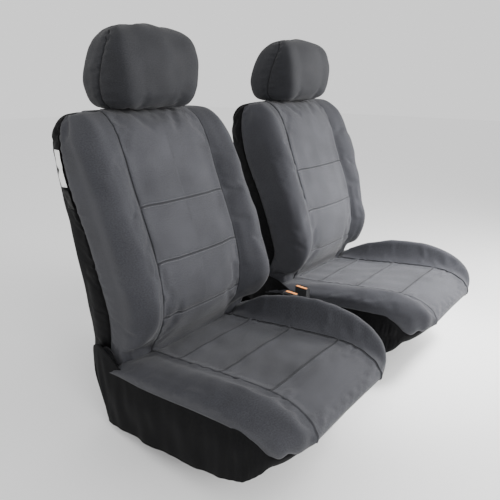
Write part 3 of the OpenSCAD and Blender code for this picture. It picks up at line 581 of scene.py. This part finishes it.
def weave_group():
    """Crossing threads with slubs and mottling: height for a bump and a shade that varies about 0.5."""
    tree, enter, leave = group_of(
        "thread_weave",
        [("Vector", "NodeSocketVector", None), ("Threads", "NodeSocketFloat", 500.0),
         ("Mottle", "NodeSocketFloat", 160.0), ("Slub", "NodeSocketFloat", 0.5)],
        [("Height", "NodeSocketFloat"), ("Shade", "NodeSocketFloat")],
    )
    scaled = node(tree, "ShaderNodeVectorMath", operation="SCALE")
    tree.links.new(enter.outputs["Vector"], scaled.inputs[0])
    tree.links.new(enter.outputs["Threads"], scaled.inputs["Scale"])
    parts = node(tree, "ShaderNodeSeparateXYZ")
    tree.links.new(scaled.outputs[0], parts.inputs[0])
    swing_x = maths(tree, "SINE", maths(tree, "MULTIPLY", parts.outputs[0], math.pi))
    swing_y = maths(tree, "SINE", maths(tree, "MULTIPLY", parts.outputs[1], math.pi))
    over = maths(tree, "GREATER_THAN", maths(tree, "MULTIPLY", swing_x, swing_y), 0.0)
    warp = maths(tree, "MULTIPLY", maths(tree, "ABSOLUTE", swing_x), over)
    weft = maths(tree, "MULTIPLY", maths(tree, "ABSOLUTE", swing_y), maths(tree, "SUBTRACT", 1.0, over))
    threads = maths(tree, "ADD", warp, weft)
    slubs = node(tree, "ShaderNodeTexNoise", Detail=3.0, Roughness=0.6)
    tree.links.new(enter.outputs["Vector"], slubs.inputs["Vector"])
    tree.links.new(enter.outputs["Mottle"], slubs.inputs["Scale"])
    cloud = node(tree, "ShaderNodeTexNoise", Scale=9.0, Detail=2.0)
    tree.links.new(enter.outputs["Vector"], cloud.inputs["Vector"])
    lumps = maths(tree, "MULTIPLY", slubs.outputs["Fac"], enter.outputs["Slub"])
    tree.links.new(maths(tree, "ADD", maths(tree, "MULTIPLY", threads, 0.5), lumps), leave.inputs["Height"])
    mottled = maths(tree, "ADD", maths(tree, "MULTIPLY", slubs.outputs["Fac"], 0.75),
                    maths(tree, "MULTIPLY", cloud.outputs["Fac"], 0.25))
    tree.links.new(mottled, leave.inputs["Shade"])
    return tree


def worn_group():
    """A fine noise on object coordinates for light wear in a hard finish's colour, gloss and surface."""
    tree, enter, leave = group_of(
        "light_wear",
        [("Scale", "NodeSocketFloat", 60.0), ("Rough", "NodeSocketFloat", 0.4),
         ("Change", "NodeSocketFloat", 0.15)],
        [("Roughness", "NodeSocketFloat"), ("Height", "NodeSocketFloat"), ("Mask", "NodeSocketFloat")],
    )
    place = node(tree, "ShaderNodeTexCoord")
    grain = node(tree, "ShaderNodeTexNoise", Detail=5.0, Roughness=0.65)
    tree.links.new(place.outputs["Object"], grain.inputs["Vector"])
    tree.links.new(enter.outputs["Scale"], grain.inputs["Scale"])
    centred = maths(tree, "SUBTRACT", grain.outputs["Fac"], 0.5)
    swing = maths(tree, "MULTIPLY", centred, enter.outputs["Change"])
    tree.links.new(maths(tree, "ADD", enter.outputs["Rough"], swing), leave.inputs["Roughness"])
    tree.links.new(grain.outputs["Fac"], leave.inputs["Height"])
    tree.links.new(grain.outputs["Fac"], leave.inputs["Mask"])
    return tree


WEAVE = weave_group()
WEAR = worn_group()


def colour_mix(tree, factor, dark, light):
    ramp = node(tree, "ShaderNodeValToRGB")
    for element, position, colour in zip(ramp.color_ramp.elements, (0.38, 0.62), (dark, light)):
        element.position = position
        element.color = (*colour, 1)
    tree.links.new(factor, ramp.inputs["Fac"])
    return ramp.outputs["Color"]


def cloth_finish(name, dark, light, threads, mottle, bump, rough, sheen, painted_seam_shade=0.7, slub=0.5,
                 shine=0.2):
    """Woven cloth that reads the piece's own cloth map, with painted shade darkening it in its seams and
    folds.
    """
    paint = bpy.data.materials.new(name)
    paint.use_nodes = True
    tree = paint.node_tree
    surface = tree.nodes["Principled BSDF"]
    place = node(tree, "ShaderNodeUVMap", uv_map="cloth")
    weave = node(tree, "ShaderNodeGroup", node_tree=WEAVE)
    weave.inputs["Threads"].default_value = threads
    weave.inputs["Mottle"].default_value = mottle
    weave.inputs["Slub"].default_value = slub
    tree.links.new(place.outputs["UV"], weave.inputs["Vector"])
    colour = colour_mix(tree, weave.outputs["Shade"], dark, light)
    # Painted shade: the crease value multiplies the cloth's colour towards a dim grey down in seams,
    # channels and folds.
    crease = node(tree, "ShaderNodeAttribute", attribute_name="crease")
    shade = node(tree, "ShaderNodeMix", data_type="RGBA", blend_type="MULTIPLY")
    tree.links.new(maths(tree, "MULTIPLY", crease.outputs["Fac"], painted_seam_shade), shade.inputs[0])
    tree.links.new(colour, shade.inputs[6])
    shade.inputs[7].default_value = (0.12, 0.12, 0.13, 1)
    tree.links.new(shade.outputs[2], surface.inputs["Base Color"])
    relief = node(tree, "ShaderNodeBump", Strength=bump, Distance=0.0006)
    tree.links.new(weave.outputs["Height"], relief.inputs["Height"])
    tree.links.new(relief.outputs["Normal"], surface.inputs["Normal"])
    roughness = maths(tree, "ADD", maths(tree, "MULTIPLY", weave.outputs["Shade"], 0.16), rough - 0.08)
    tree.links.new(roughness, surface.inputs["Roughness"])
    surface.inputs["Sheen Weight"].default_value = sheen
    surface.inputs["Sheen Roughness"].default_value = 0.45
    surface.inputs["Specular IOR Level"].default_value = shine
    return paint


def hard_finish(name, dark, light, rough, metallic=0.0, scale=60.0, change=0.15, coat=0.0, bump=0.1):
    """Metal, plastic or foam with light wear in its colour, gloss and surface."""
    paint = bpy.data.materials.new(name)
    paint.use_nodes = True
    tree = paint.node_tree
    surface = tree.nodes["Principled BSDF"]
    wear = node(tree, "ShaderNodeGroup", node_tree=WEAR)
    wear.inputs["Scale"].default_value = scale
    wear.inputs["Rough"].default_value = rough
    wear.inputs["Change"].default_value = change
    tree.links.new(colour_mix(tree, wear.outputs["Mask"], dark, light), surface.inputs["Base Color"])
    tree.links.new(wear.outputs["Roughness"], surface.inputs["Roughness"])
    relief = node(tree, "ShaderNodeBump", Strength=bump, Distance=0.0004)
    tree.links.new(wear.outputs["Height"], relief.inputs["Height"])
    tree.links.new(relief.outputs["Normal"], surface.inputs["Normal"])
    surface.inputs["Metallic"].default_value = metallic
    surface.inputs["Coat Weight"].default_value = coat
    return paint


CLOTHS = {
    "charcoal_cloth": dict(dark=(0.025, 0.0255, 0.030), light=(0.044, 0.0450, 0.052), threads=520,
                           mottle=330, bump=0.45, rough=0.80, sheen=0.08),
    # The charcoal fabric again, painted darker for the headrest: painted shade where it gets less light.
    "headrest_cloth": dict(dark=(0.012, 0.0125, 0.0145), light=(0.0235, 0.024, 0.028), threads=520,
                           mottle=330, bump=0.45, rough=0.74, sheen=0.06),
    "panel_cloth": dict(dark=(0.028, 0.0285, 0.033), light=(0.068, 0.0690, 0.078), threads=420, mottle=420,
                        bump=0.8, rough=0.84, sheen=0.10, slub=1.0),
    "black_cloth": dict(dark=(0.0035, 0.0035, 0.0038), light=(0.0065, 0.0065, 0.007), threads=700,
                        mottle=150, bump=0.25, rough=0.62, sheen=0.0, shine=0.05),
    "label_cloth": dict(dark=(0.78, 0.78, 0.77), light=(0.88, 0.88, 0.87), threads=900, mottle=150,
                        bump=0.2, rough=0.7, sheen=0.0, painted_seam_shade=0.2),
    "tag_cloth": dict(dark=(0.004, 0.004, 0.004), light=(0.008, 0.008, 0.008), threads=900, mottle=150,
                      bump=0.2, rough=0.5, sheen=0.0),
}
HARD = {
    "thread": dict(dark=(0.20, 0.205, 0.22), light=(0.30, 0.305, 0.32), rough=0.6, scale=900),
    "webbing": dict(dark=(0.012, 0.012, 0.013), light=(0.03, 0.03, 0.032), rough=0.75, scale=800, bump=0.6),
    "foam": dict(dark=(0.62, 0.55, 0.34), light=(0.74, 0.67, 0.45), rough=0.9, scale=300, bump=0.8),
    "painted_steel": dict(dark=(0.018, 0.018, 0.020), light=(0.035, 0.035, 0.038), rough=0.45, scale=90),
    "bare_steel": dict(dark=(0.40, 0.41, 0.43), light=(0.56, 0.57, 0.59), rough=0.35, metallic=1.0,
                       scale=120),
    "chrome_steel": dict(dark=(0.62, 0.63, 0.65), light=(0.72, 0.73, 0.75), rough=0.12, metallic=1.0,
                         scale=80, change=0.08),
    "black_plastic": dict(dark=(0.015, 0.015, 0.016), light=(0.026, 0.026, 0.028), rough=0.42, scale=500,
                          bump=0.35),
    "orange_plastic": dict(dark=(0.78, 0.27, 0.07), light=(0.88, 0.36, 0.12), rough=0.3, scale=120,
                           coat=0.3),
}
FINISH = {name: cloth_finish(name, **look) for name, look in CLOTHS.items()}
FINISH.update({name: hard_finish(name, **look) for name, look in HARD.items()})


def dress(piece, finish):
    piece.data.materials.clear()
    piece.data.materials.append(FINISH[finish])


# ---------------------------------------------------------------- cover pieces


def flank(value, line, width):
    """1 on a line, falling to 0 a width away from it."""
    return np.clip(1 - np.abs(value - line) / width, 0, 1)


def pucker(size, ripple, distance, reach, bare):
    """Puckers of a few tenths of a millimetre beside a seam, gone on the seam itself."""
    return size * MM * ripple * np.exp(-distance / reach) * (1 - bump_at(distance, 1.0, bare))


def channels(groove, crease, inside, gv, lines_v):
    """Adds the sewn channels across a centre panel to the cover's grooves and to its painted crease shade.
    """
    for line in lines_v:
        away = np.abs(gv - line)
        dip = bump_at(away, 2.2, 2.0 * MM) + bump_at(away - STITCH_SIDE, 0.9, 1.3 * MM)
        groove = groove + inside * dip * MM
        # Painted shade down each channel darkens the cloth's colour there.
        crease = np.maximum(crease, inside * bump_at(away, 1.0, 2.4 * MM))
    return groove, crease


def quilting(inside, gv, lines_v):
    """How far a centre panel swells between its channels."""
    rise = np.clip(np.min([np.abs(gv - line) for line in lines_v], axis=0) / 0.03, 0, 1)
    return inside * 1.6 * MM * np.sin(rise * math.pi / 2)


def sew(side, name, points, faces, uv, crease, wall=0.0, offset=0.0):
    """One piece of cloth from seat coordinates, with its cloth map, its painted crease shade and its
    thickness.
    """
    piece = make_mesh(f"{side}_{name}", seat_points(side, points), seat_faces(side, faces),
                      uv.reshape(-1, 2), {"crease": crease.ravel()})
    if wall:
        apply_modifier(piece, "SOLIDIFY", thickness=wall, offset=offset)
    smooth_shaded(piece)
    return piece


def fit(piece, finish, slot, body, *nodes):
    """Gives a piece its finish, hangs it on the body it rides and hides the frame nodes it stands for; slot
    is not used.
    """
    dress(piece, finish)
    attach(piece, body)
    if nodes:
        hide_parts(*nodes)


def split_piece(side, name, grid, faces, uv, crease, finish, body, nodes):
    """Makes one sewn panel from the faces of a cover that belong to it."""
    used, local = np.unique(faces, return_inverse=True)
    piece = sew(side, name, grid.reshape(-1, 3)[used], local.reshape(faces.shape).tolist(),
                uv.reshape(-1, 2)[used], crease.ravel()[used], COVER_CLOTH, -1.0)
    fit(piece, finish, finish, body, *(f"{side}_{node_name}" for node_name in nodes))


def stitches(side, name, surface, lines_v, across, body):
    """Thread stitches on both sides of each channel: small closed lozenges that lie on the cloth."""
    ring = 5
    points = []
    faces = []
    for line_v in [line + step for line in lines_v for step in (-STITCH_SIDE, STITCH_SIDE)]:
        place = surface.grid(np.array([line_v - 2 * MM, line_v, line_v + 2 * MM]), across)
        outward = grid_normals(place, False)[1]
        line = place[1] + outward * 0.9 * MM
        steps = np.linalg.norm(np.diff(line, axis=0), axis=1)
        along = np.concatenate([[0], np.cumsum(steps)])
        for start in np.arange(STITCH_PITCH, along[-1] - STITCH_PITCH, STITCH_PITCH):
            ends = [np.array([np.interp(start + d, along, line[:, k]) for k in range(3)])
                    for d in (0, STITCH_LENGTH)]
            up = np.array([np.interp(start, along, outward[:, k]) for k in range(3)])
            up /= np.linalg.norm(up)
            axis = (ends[1] - ends[0]) / np.linalg.norm(ends[1] - ends[0])
            aside = np.cross(axis, up)
            middle = (ends[0] + ends[1]) / 2 + up * 0.35 * MM
            first = len(points)
            points.append(ends[0] - up * 0.1 * MM)
            for k in range(ring):
                a = 2 * math.pi * k / ring
                points.append(middle + (aside * math.cos(a) + up * math.sin(a)) * 0.5 * MM)
            points.append(ends[1] - up * 0.1 * MM)
            for k in range(ring):
                n = (k + 1) % ring
                faces.append([first, first + 1 + n, first + 1 + k])
                faces.append([first + 1 + k, first + 1 + n, first + 1 + ring])
    piece = make_mesh(f"{side}_{name}", seat_points(side, points), seat_faces(side, faces))
    smooth_shaded(piece)
    fit(piece, "thread", "panel_cloth", body)


def cushion_cover(side, surface, seed):
    """The cushion's centre panel and bolsters, with their seams, channels and stitches."""
    rng = np.random.default_rng(seed)
    body = f"{side}_seat"
    lines_v = surface.v_keys[CUSHION_CHANNELS]
    seams = surface.u_keys[CUSHION_SEAMS]
    mid = seams.mean()
    seam_u = seams[1] - mid
    v = spaced(surface.v_len, COVER_STEP, lines_v)
    u = spaced(surface.u_len, COVER_STEP, (mid - seam_u, mid + seam_u))
    points = surface.grid(v, u)
    out = grid_normals(points, False)
    gv, gu = np.meshgrid(v, u, indexing="ij")
    off = np.abs(gu - mid)
    inside = off < seam_u
    long_seam = np.abs(off - seam_u)
    ripple = waves(rng, 7, 0.05, 0.16)
    pull = waves(rng, 6, 0.012, 0.022, 0.0, 0.25)
    calm = np.clip((surface.v_keys[6] - gv) / 0.08, 0.15, 1)
    calm *= np.clip(np.minimum(gu, surface.u_len - gu) / 0.03, 0, 1)
    lift = 0.9 * MM * ripple(gv, gu) * np.clip(long_seam / 0.03, 0, 1) * calm
    lift += pucker(0.4, pull(gv, gu), long_seam, 0.012, 3 * MM) * calm
    for line in lines_v:
        lift += inside * pucker(0.5, pull(gu, gv), np.abs(gv - line), 0.010, 3 * MM)
    lift += quilting(inside, gv, lines_v)
    # The second value is painted shade along the long seams; channels adds it along the channels too.
    groove, crease = channels(bump_at(long_seam, 2.2, 2.2 * MM) * MM, bump_at(long_seam, 0.8, 1.2 * MM),
                              inside, gv, lines_v)
    points = points + out * (lift - groove)[..., None]
    uv = np.stack([gu, gv], -1)
    quads, start = grid_faces(len(v), len(u), False)
    middle = np.abs((u[start] + u[start + 1]) / 2 - mid) < seam_u
    for name, chosen, finish, nodes in (
        ("cushion_centre", middle, "panel_cloth", ("cushion_centre_cover", "cushion_foam")),
        ("cushion_bolsters", ~middle, "charcoal_cloth", ("cushion_bolster_cover",)),
    ):
        split_piece(side, name, points, quads[chosen], uv, crease, finish, body, nodes)
    across = np.linspace(mid - seam_u + 3 * MM, mid + seam_u - 3 * MM, 70)
    stitches(side, "cushion_stitches", surface, lines_v, across, body)


def loop_grid(surface, step, lines_v, lines_u):
    """A closed cover's stations and points; fold is how far round from the front centre each lies."""
    half_len = surface.u_len / 2
    v = spaced(surface.v_len, step, lines_v)
    half_u = spaced(half_len, step, lines_u)
    u = np.concatenate([half_u, surface.u_len - half_u[-2:0:-1]])
    gv, gu = np.meshgrid(v, u, indexing="ij")
    fold = np.minimum(gu, surface.u_len - gu)
    turned = np.where(gu > half_len, gu - surface.u_len, gu)
    return surface.grid(v, u), gv, gu, fold, turned


def back_cover(side, surface, seed):
    """The backrest's front panels, black sides and black rear, with seams, channels and stitches."""
    rng = np.random.default_rng(seed)
    body = f"{side}_backrest"
    lines_v = surface.v_keys[BACK_CHANNELS]
    seam_u = surface.u_keys[BACK_LONG_SEAM]
    dark_u = surface.u_keys[BACK_SIDE_SEAM]
    rear_u = surface.u_keys[BACK_REAR_SEAM]
    half_len = surface.u_len / 2
    points, gv, gu, fold, turned = loop_grid(surface, COVER_STEP, lines_v, (seam_u, dark_u))
    out = grid_normals(points, True)
    inside = fold < seam_u
    long_seam = np.abs(fold - seam_u)
    dark_seam = np.abs(fold - dark_u)
    ripple = waves(rng, 8, 0.06, 0.2)
    pull = waves(rng, 6, 0.012, 0.024, math.pi / 2, 0.25)
    gather = waves(rng, 8, 0.014, 0.04, math.pi / 2, 0.35)
    rear_fade = np.clip((half_len - fold) / 0.04, 0, 1)
    lift = 1.1 * MM * rear_fade * ripple(gv, turned)
    lift *= np.clip(long_seam / 0.03, 0, 1) * np.clip(dark_seam / 0.03, 0, 1)
    lift += pucker(0.5, pull(gv, turned), long_seam, 0.012, 3 * MM)
    lift += pucker(1.9, gather(gv, turned), dark_seam, 0.020, 4 * MM)
    lift += quilting(inside, gv, lines_v)
    groove = (bump_at(long_seam, 2.0, 2.2 * MM) + bump_at(dark_seam, 3.2, 3.2 * MM)) * MM
    # Painted shade along the long seam and the dark side seam.
    crease = np.maximum(bump_at(long_seam, 0.8, 1.2 * MM), bump_at(dark_seam, 1.0, 2.0 * MM))
    groove, crease = channels(groove, crease, inside, gv, lines_v)
    points = points + out * (lift - groove)[..., None]
    uv = np.stack([gu, gv], -1)
    rows, cols = fold.shape
    quads, start = grid_faces(rows, cols, True)
    middle = (fold[0][start] + fold[0][(start + 1) % cols]) / 2
    caps = np.array(both_caps(rows, cols))
    at_front = fold[0][caps % cols].max(1) > half_len - seam_u - 1e-6
    region = np.concatenate([middle, np.where(at_front, 0.0, seam_u + 0.01)])
    faces = np.concatenate([quads, caps])
    for name, chosen, finish, nodes in (
        ("back_centre", region < seam_u, "panel_cloth", ("back_centre_cover", "back_foam")),
        ("back_bolsters", (region > seam_u) & (region < dark_u), "charcoal_cloth", ("back_bolster_cover",)),
        ("back_sides", (region > dark_u) & (region < rear_u), "black_cloth", ("back_side_panels",)),
        ("back_rear", region > rear_u, "black_cloth", ("back_rear_panel",)),
    ):
        split_piece(side, name, points, faces[chosen], uv, crease, finish, body, nodes)
    across = np.linspace(-seam_u + 3 * MM, seam_u - 3 * MM, 70)
    stitches(side, "back_stitches", surface, lines_v, across, body)
    sewn_labels(side, surface, dark_u, body)


def headrest_cover(side, surface, seed):
    """The headrest's cover, gathered along the seam on each side."""
    rng = np.random.default_rng(seed)
    seam_u = surface.u_keys[HEADREST_SIDE_SEAM]
    points, gv, gu, fold, turned = loop_grid(surface, HEADREST_STEP, (), (seam_u,))
    out = grid_normals(points, True)
    side_seam = np.abs(fold - seam_u)
    ripple = waves(rng, 7, 0.05, 0.14)
    gather = waves(rng, 8, 0.014, 0.035, math.pi / 2, 0.3)
    lift = 1.0 * MM * ripple(gv, turned) * np.clip((surface.u_len / 2 - fold) / 0.04, 0, 1)
    lift += pucker(2.4, gather(gv, turned), side_seam, 0.018, 4 * MM)
    groove = bump_at(side_seam, 3.2, 3.0 * MM) * MM
    points = points + out * (lift - groove)[..., None]
    faces = grid_faces(*fold.shape, True)[0].tolist() + both_caps(*fold.shape)
    # The last value is painted shade along the side seam.
    piece = sew(side, "headrest_skin", points, faces, np.stack([gu, gv], -1),
                bump_at(side_seam, 1.0, 2.0 * MM))
    # The headrest wears the charcoal cloth with painted shade in its colour.
    fit(piece, "headrest_cloth", "charcoal_cloth", f"{side}_headrest",
        f"{side}_headrest_cover", f"{side}_headrest_foam")


def sewn_labels(side, surface, dark_u, body):
    """A bare white label and a bare black tag, both caught in the outboard seam of the backrest."""
    seam = surface.u_len - dark_u
    rows = surface.v_keys
    tall = 14
    wide = 9
    for name, low, high, width, finish, slot in (
        ("white_label", rows[10] + 0.004, rows[12] - 0.012, 0.024, "label_cloth", "label_cloth"),
        ("black_tag", rows[9] + 0.010, rows[10] - 0.004, 0.026, "tag_cloth", "black_cloth"),
    ):
        v = np.linspace(low, high, tall)
        u = np.linspace(seam - width, seam - 2 * MM, wide)
        place = surface.grid(v, u)
        gap = 2.8 * MM + 2.5 * MM * np.linspace(1, 0, wide)[None, :] ** 1.5
        place = place + grid_normals(place, False) * gap[..., None]
        gv, gu = np.meshgrid(v, u, indexing="ij")
        piece = sew(side, name, place, grid_faces(tall, wide, False)[0].tolist(), np.stack([gu, gv], -1),
                    np.zeros(tall * wide), LABEL_CLOTH)
        fit(piece, finish, slot, body, f"{side}_sewn_labels")


# Skirt: each column from the seam under the cushion's bolster down to the hem.
SKIRT_TOP = [
    (0.2475, 0.066, 0.204), (0.2495, 0.061, 0.233), (0.2535, 0.046, 0.256), (0.2570, 0.018, 0.270),
    (0.2600, -0.030, 0.262), (0.2615, -0.085, 0.232), (0.2620, -0.160, 0.226), (0.2620, -0.258, 0.239),
    (0.2620, -0.399, 0.260), (0.2605, -0.492, 0.266), (0.2520, -0.534, 0.254), (0.2420, -0.556, 0.232),
    (0.2280, -0.573, 0.214), (0.2140, -0.590, 0.213), (0.1880, -0.612, 0.223), (0.1520, -0.628, 0.238),
    (0.0800, -0.6305, 0.242), (0.0000, -0.631, 0.242)
]
SKIRT_HEM = [
    (0.238, 0.034, 0.026), (0.246, 0.026, 0.022), (0.255, 0.014, 0.020), (0.262, -0.006, 0.022),
    (0.2655, -0.040, 0.026), (0.2670, -0.100, 0.035), (0.2680, -0.170, 0.046), (0.2685, -0.270, 0.064),
    (0.2680, -0.400, 0.089), (0.2640, -0.482, 0.109), (0.254, -0.528, 0.130), (0.243, -0.552, 0.151),
    (0.229, -0.568, 0.171), (0.214, -0.580, 0.176), (0.190, -0.594, 0.183), (0.152, -0.604, 0.189),
    (0.080, -0.607, 0.191), (0.000, -0.6075, 0.191)
]

# The inboard side is cut fuller round its rear corner: what is added to its first columns.
SKIRT_INBOARD = [
    (0, 0.044, 0.002), (0.0015, 0.037, 0), (0, 0.028, 0), (0, 0.016, 0.002), (0, 0, 0.012), (0, 0, 0.036),
    (0, 0, 0.014)
]


def skirt_sheets(side, seed):
    """Black cloth hanging from the bolster seam on both sides, gathered a little at its top."""
    for end, name in ((-1, "skirt_outboard"), (1, "skirt_inboard")):
        top = np.array(SKIRT_TOP)
        hem = np.array(SKIRT_HEM)
        if end == 1:
            top[:7] += SKIRT_INBOARD
            hem[:4, 1] += 0.020
        out_turn = np.gradient(top[:, :2], axis=0) @ np.array([[0, -1], [1, 0]])
        out_turn /= np.linalg.norm(out_turn, axis=1, keepdims=True)
        belly = np.column_stack([-out_turn * 0.004, np.zeros(len(top))])
        rows = [top, mixed(top, hem, 0.2) + belly, mixed(top, hem, 0.6) + belly, hem]
        surface = Surface(np.stack(rows), closed=False)
        u = spaced(surface.u_len, SKIRT_STEP)
        fold_over = surface.v_len - np.array([6, 3, 1.5, 0]) * MM
        v = np.concatenate([np.linspace(0, surface.v_len - 10 * MM, 26), fold_over])
        gv, gu = np.meshgrid(v, u, indexing="ij")
        rng = np.random.default_rng(seed + end)
        folds = waves(rng, 8, 0.03, 0.11, 0.0, 0.3)
        drape = waves(rng, 6, 0.06, 0.16, math.pi / 3, 0.5)
        points = surface.base(v, u)
        out = -grid_normals(points, False)
        fade = np.clip(gv / 0.05, 0, 1) * np.clip((surface.u_len - 0.2 - gu) / 0.1, 0.12, 1)
        gather = np.exp(-gv / 0.04) * np.clip((gv - 0.012) / 0.006, 0, 1)
        lift = fade * (1.6 * MM * folds(gv, gu) + 1.6 * MM * drape(gv, gu))
        lift += gather * 0.9 * MM * folds(gv * 2, gu * 2.4)
        lift += bump_at(surface.v_len - gv - 4 * MM, 0.9, 5 * MM) * MM
        points = points + out * lift[..., None]
        points[..., 0] *= end
        faces = grid_faces(len(v), len(u), False)[0][:, ::-end].tolist()
        # Painted shade along the line where the hem is turned up.
        hem_shade = bump_at(surface.v_len - gv - 12 * MM, 0.8, 1.2 * MM)
        piece = sew(side, name, points, faces, np.stack([gu, gv], -1), hem_shade, SKIRT_CLOTH)
        fit(piece, "black_cloth", "black_cloth", f"{side}_seat", f"{side}_skirt")


# ---------------------------------------------------------------- the carried-over hard parts

HARD_FINISH = {
    "lower_rails": "painted_steel", "upper_rails": "bare_steel", "release_bar": "bare_steel",
    "cushion_frame": "painted_steel", "cushion_springs": "bare_steel", "tie_straps": "webbing",
    "strap_buckles": "black_plastic", "recline_pivots": "bare_steel", "recline_lever": "black_plastic",
    "buckle_anchor": "bare_steel", "buckle_stalk": "black_plastic", "buckle_housing": "black_plastic",
    "buckle_button": "orange_plastic", "back_frame": "painted_steel", "back_springs": "bare_steel",
    "headrest_guides": "black_plastic", "guide_button": "black_plastic", "headrest_posts": "chrome_steel",
    "cushion_foam": "foam", "back_foam": "foam", "headrest_foam": "foam"
}


def dress_frame_nodes():
    for name, thing in frame["nodes"].items():
        part = name.split("_", 1)[1]
        if part in HARD_FINISH:
            dress(thing, HARD_FINISH[part])


# ---------------------------------------------------------------- the whole set


def seam_hold(surface, seams, ends):
    """Pins the cloth on its seams, more softly beside them, and where it is tucked in."""

    def held(v, u):
        hold = np.zeros_like(v)
        for line in seams:
            hold = np.maximum(hold, flank(u, line, 0.012))
            if surface.closed:
                hold = np.maximum(hold, flank(u, surface.u_len - line, 0.012))
        low, high = ends
        hold = np.maximum(hold, np.clip(1 - v / low, 0, 1) + np.clip(1 - (surface.v_len - v) / high, 0, 1))
        if not surface.closed:
            edge = np.minimum(u, surface.u_len - u)
            hold = np.maximum(hold, np.clip(1.1 - edge / 0.05, 0, 1))
        return np.clip(hold * 1.5, 0, 1)

    return held


add_camera()
add_studio()
dress_frame_nodes()

back = back_surface()
headrest = headrest_surface()
back_seams = back.u_keys[[BACK_LONG_SEAM, BACK_SIDE_SEAM]]
blow_up(back, 0.014, seam_hold(back, back_seams, (0.06, 0.02)), spare=0.015, cap=5 * MM)
headrest_seams = headrest.u_keys[[HEADREST_SIDE_SEAM]]
blow_up(headrest, 0.010, seam_hold(headrest, headrest_seams, (0.01, 0.01)), spare=0.02, cap=4 * MM)

for number, (seat, low_side) in enumerate((("driver", "outboard"), ("passenger", "inboard"))):
    cushion = cushion_surface(low_side)
    cushion_hold = seam_hold(cushion, cushion.u_keys[CUSHION_SEAMS], (0.03, 0.05))
    blow_up(cushion, 0.013, cushion_hold, spare=0.015, cap=4 * MM)
    cushion_cover(seat, cushion, 11 + number)
    back_cover(seat, back, 21 + number)
    headrest_cover(seat, headrest, 31 + number)
    skirt_sheets(seat, 41 + 10 * number)
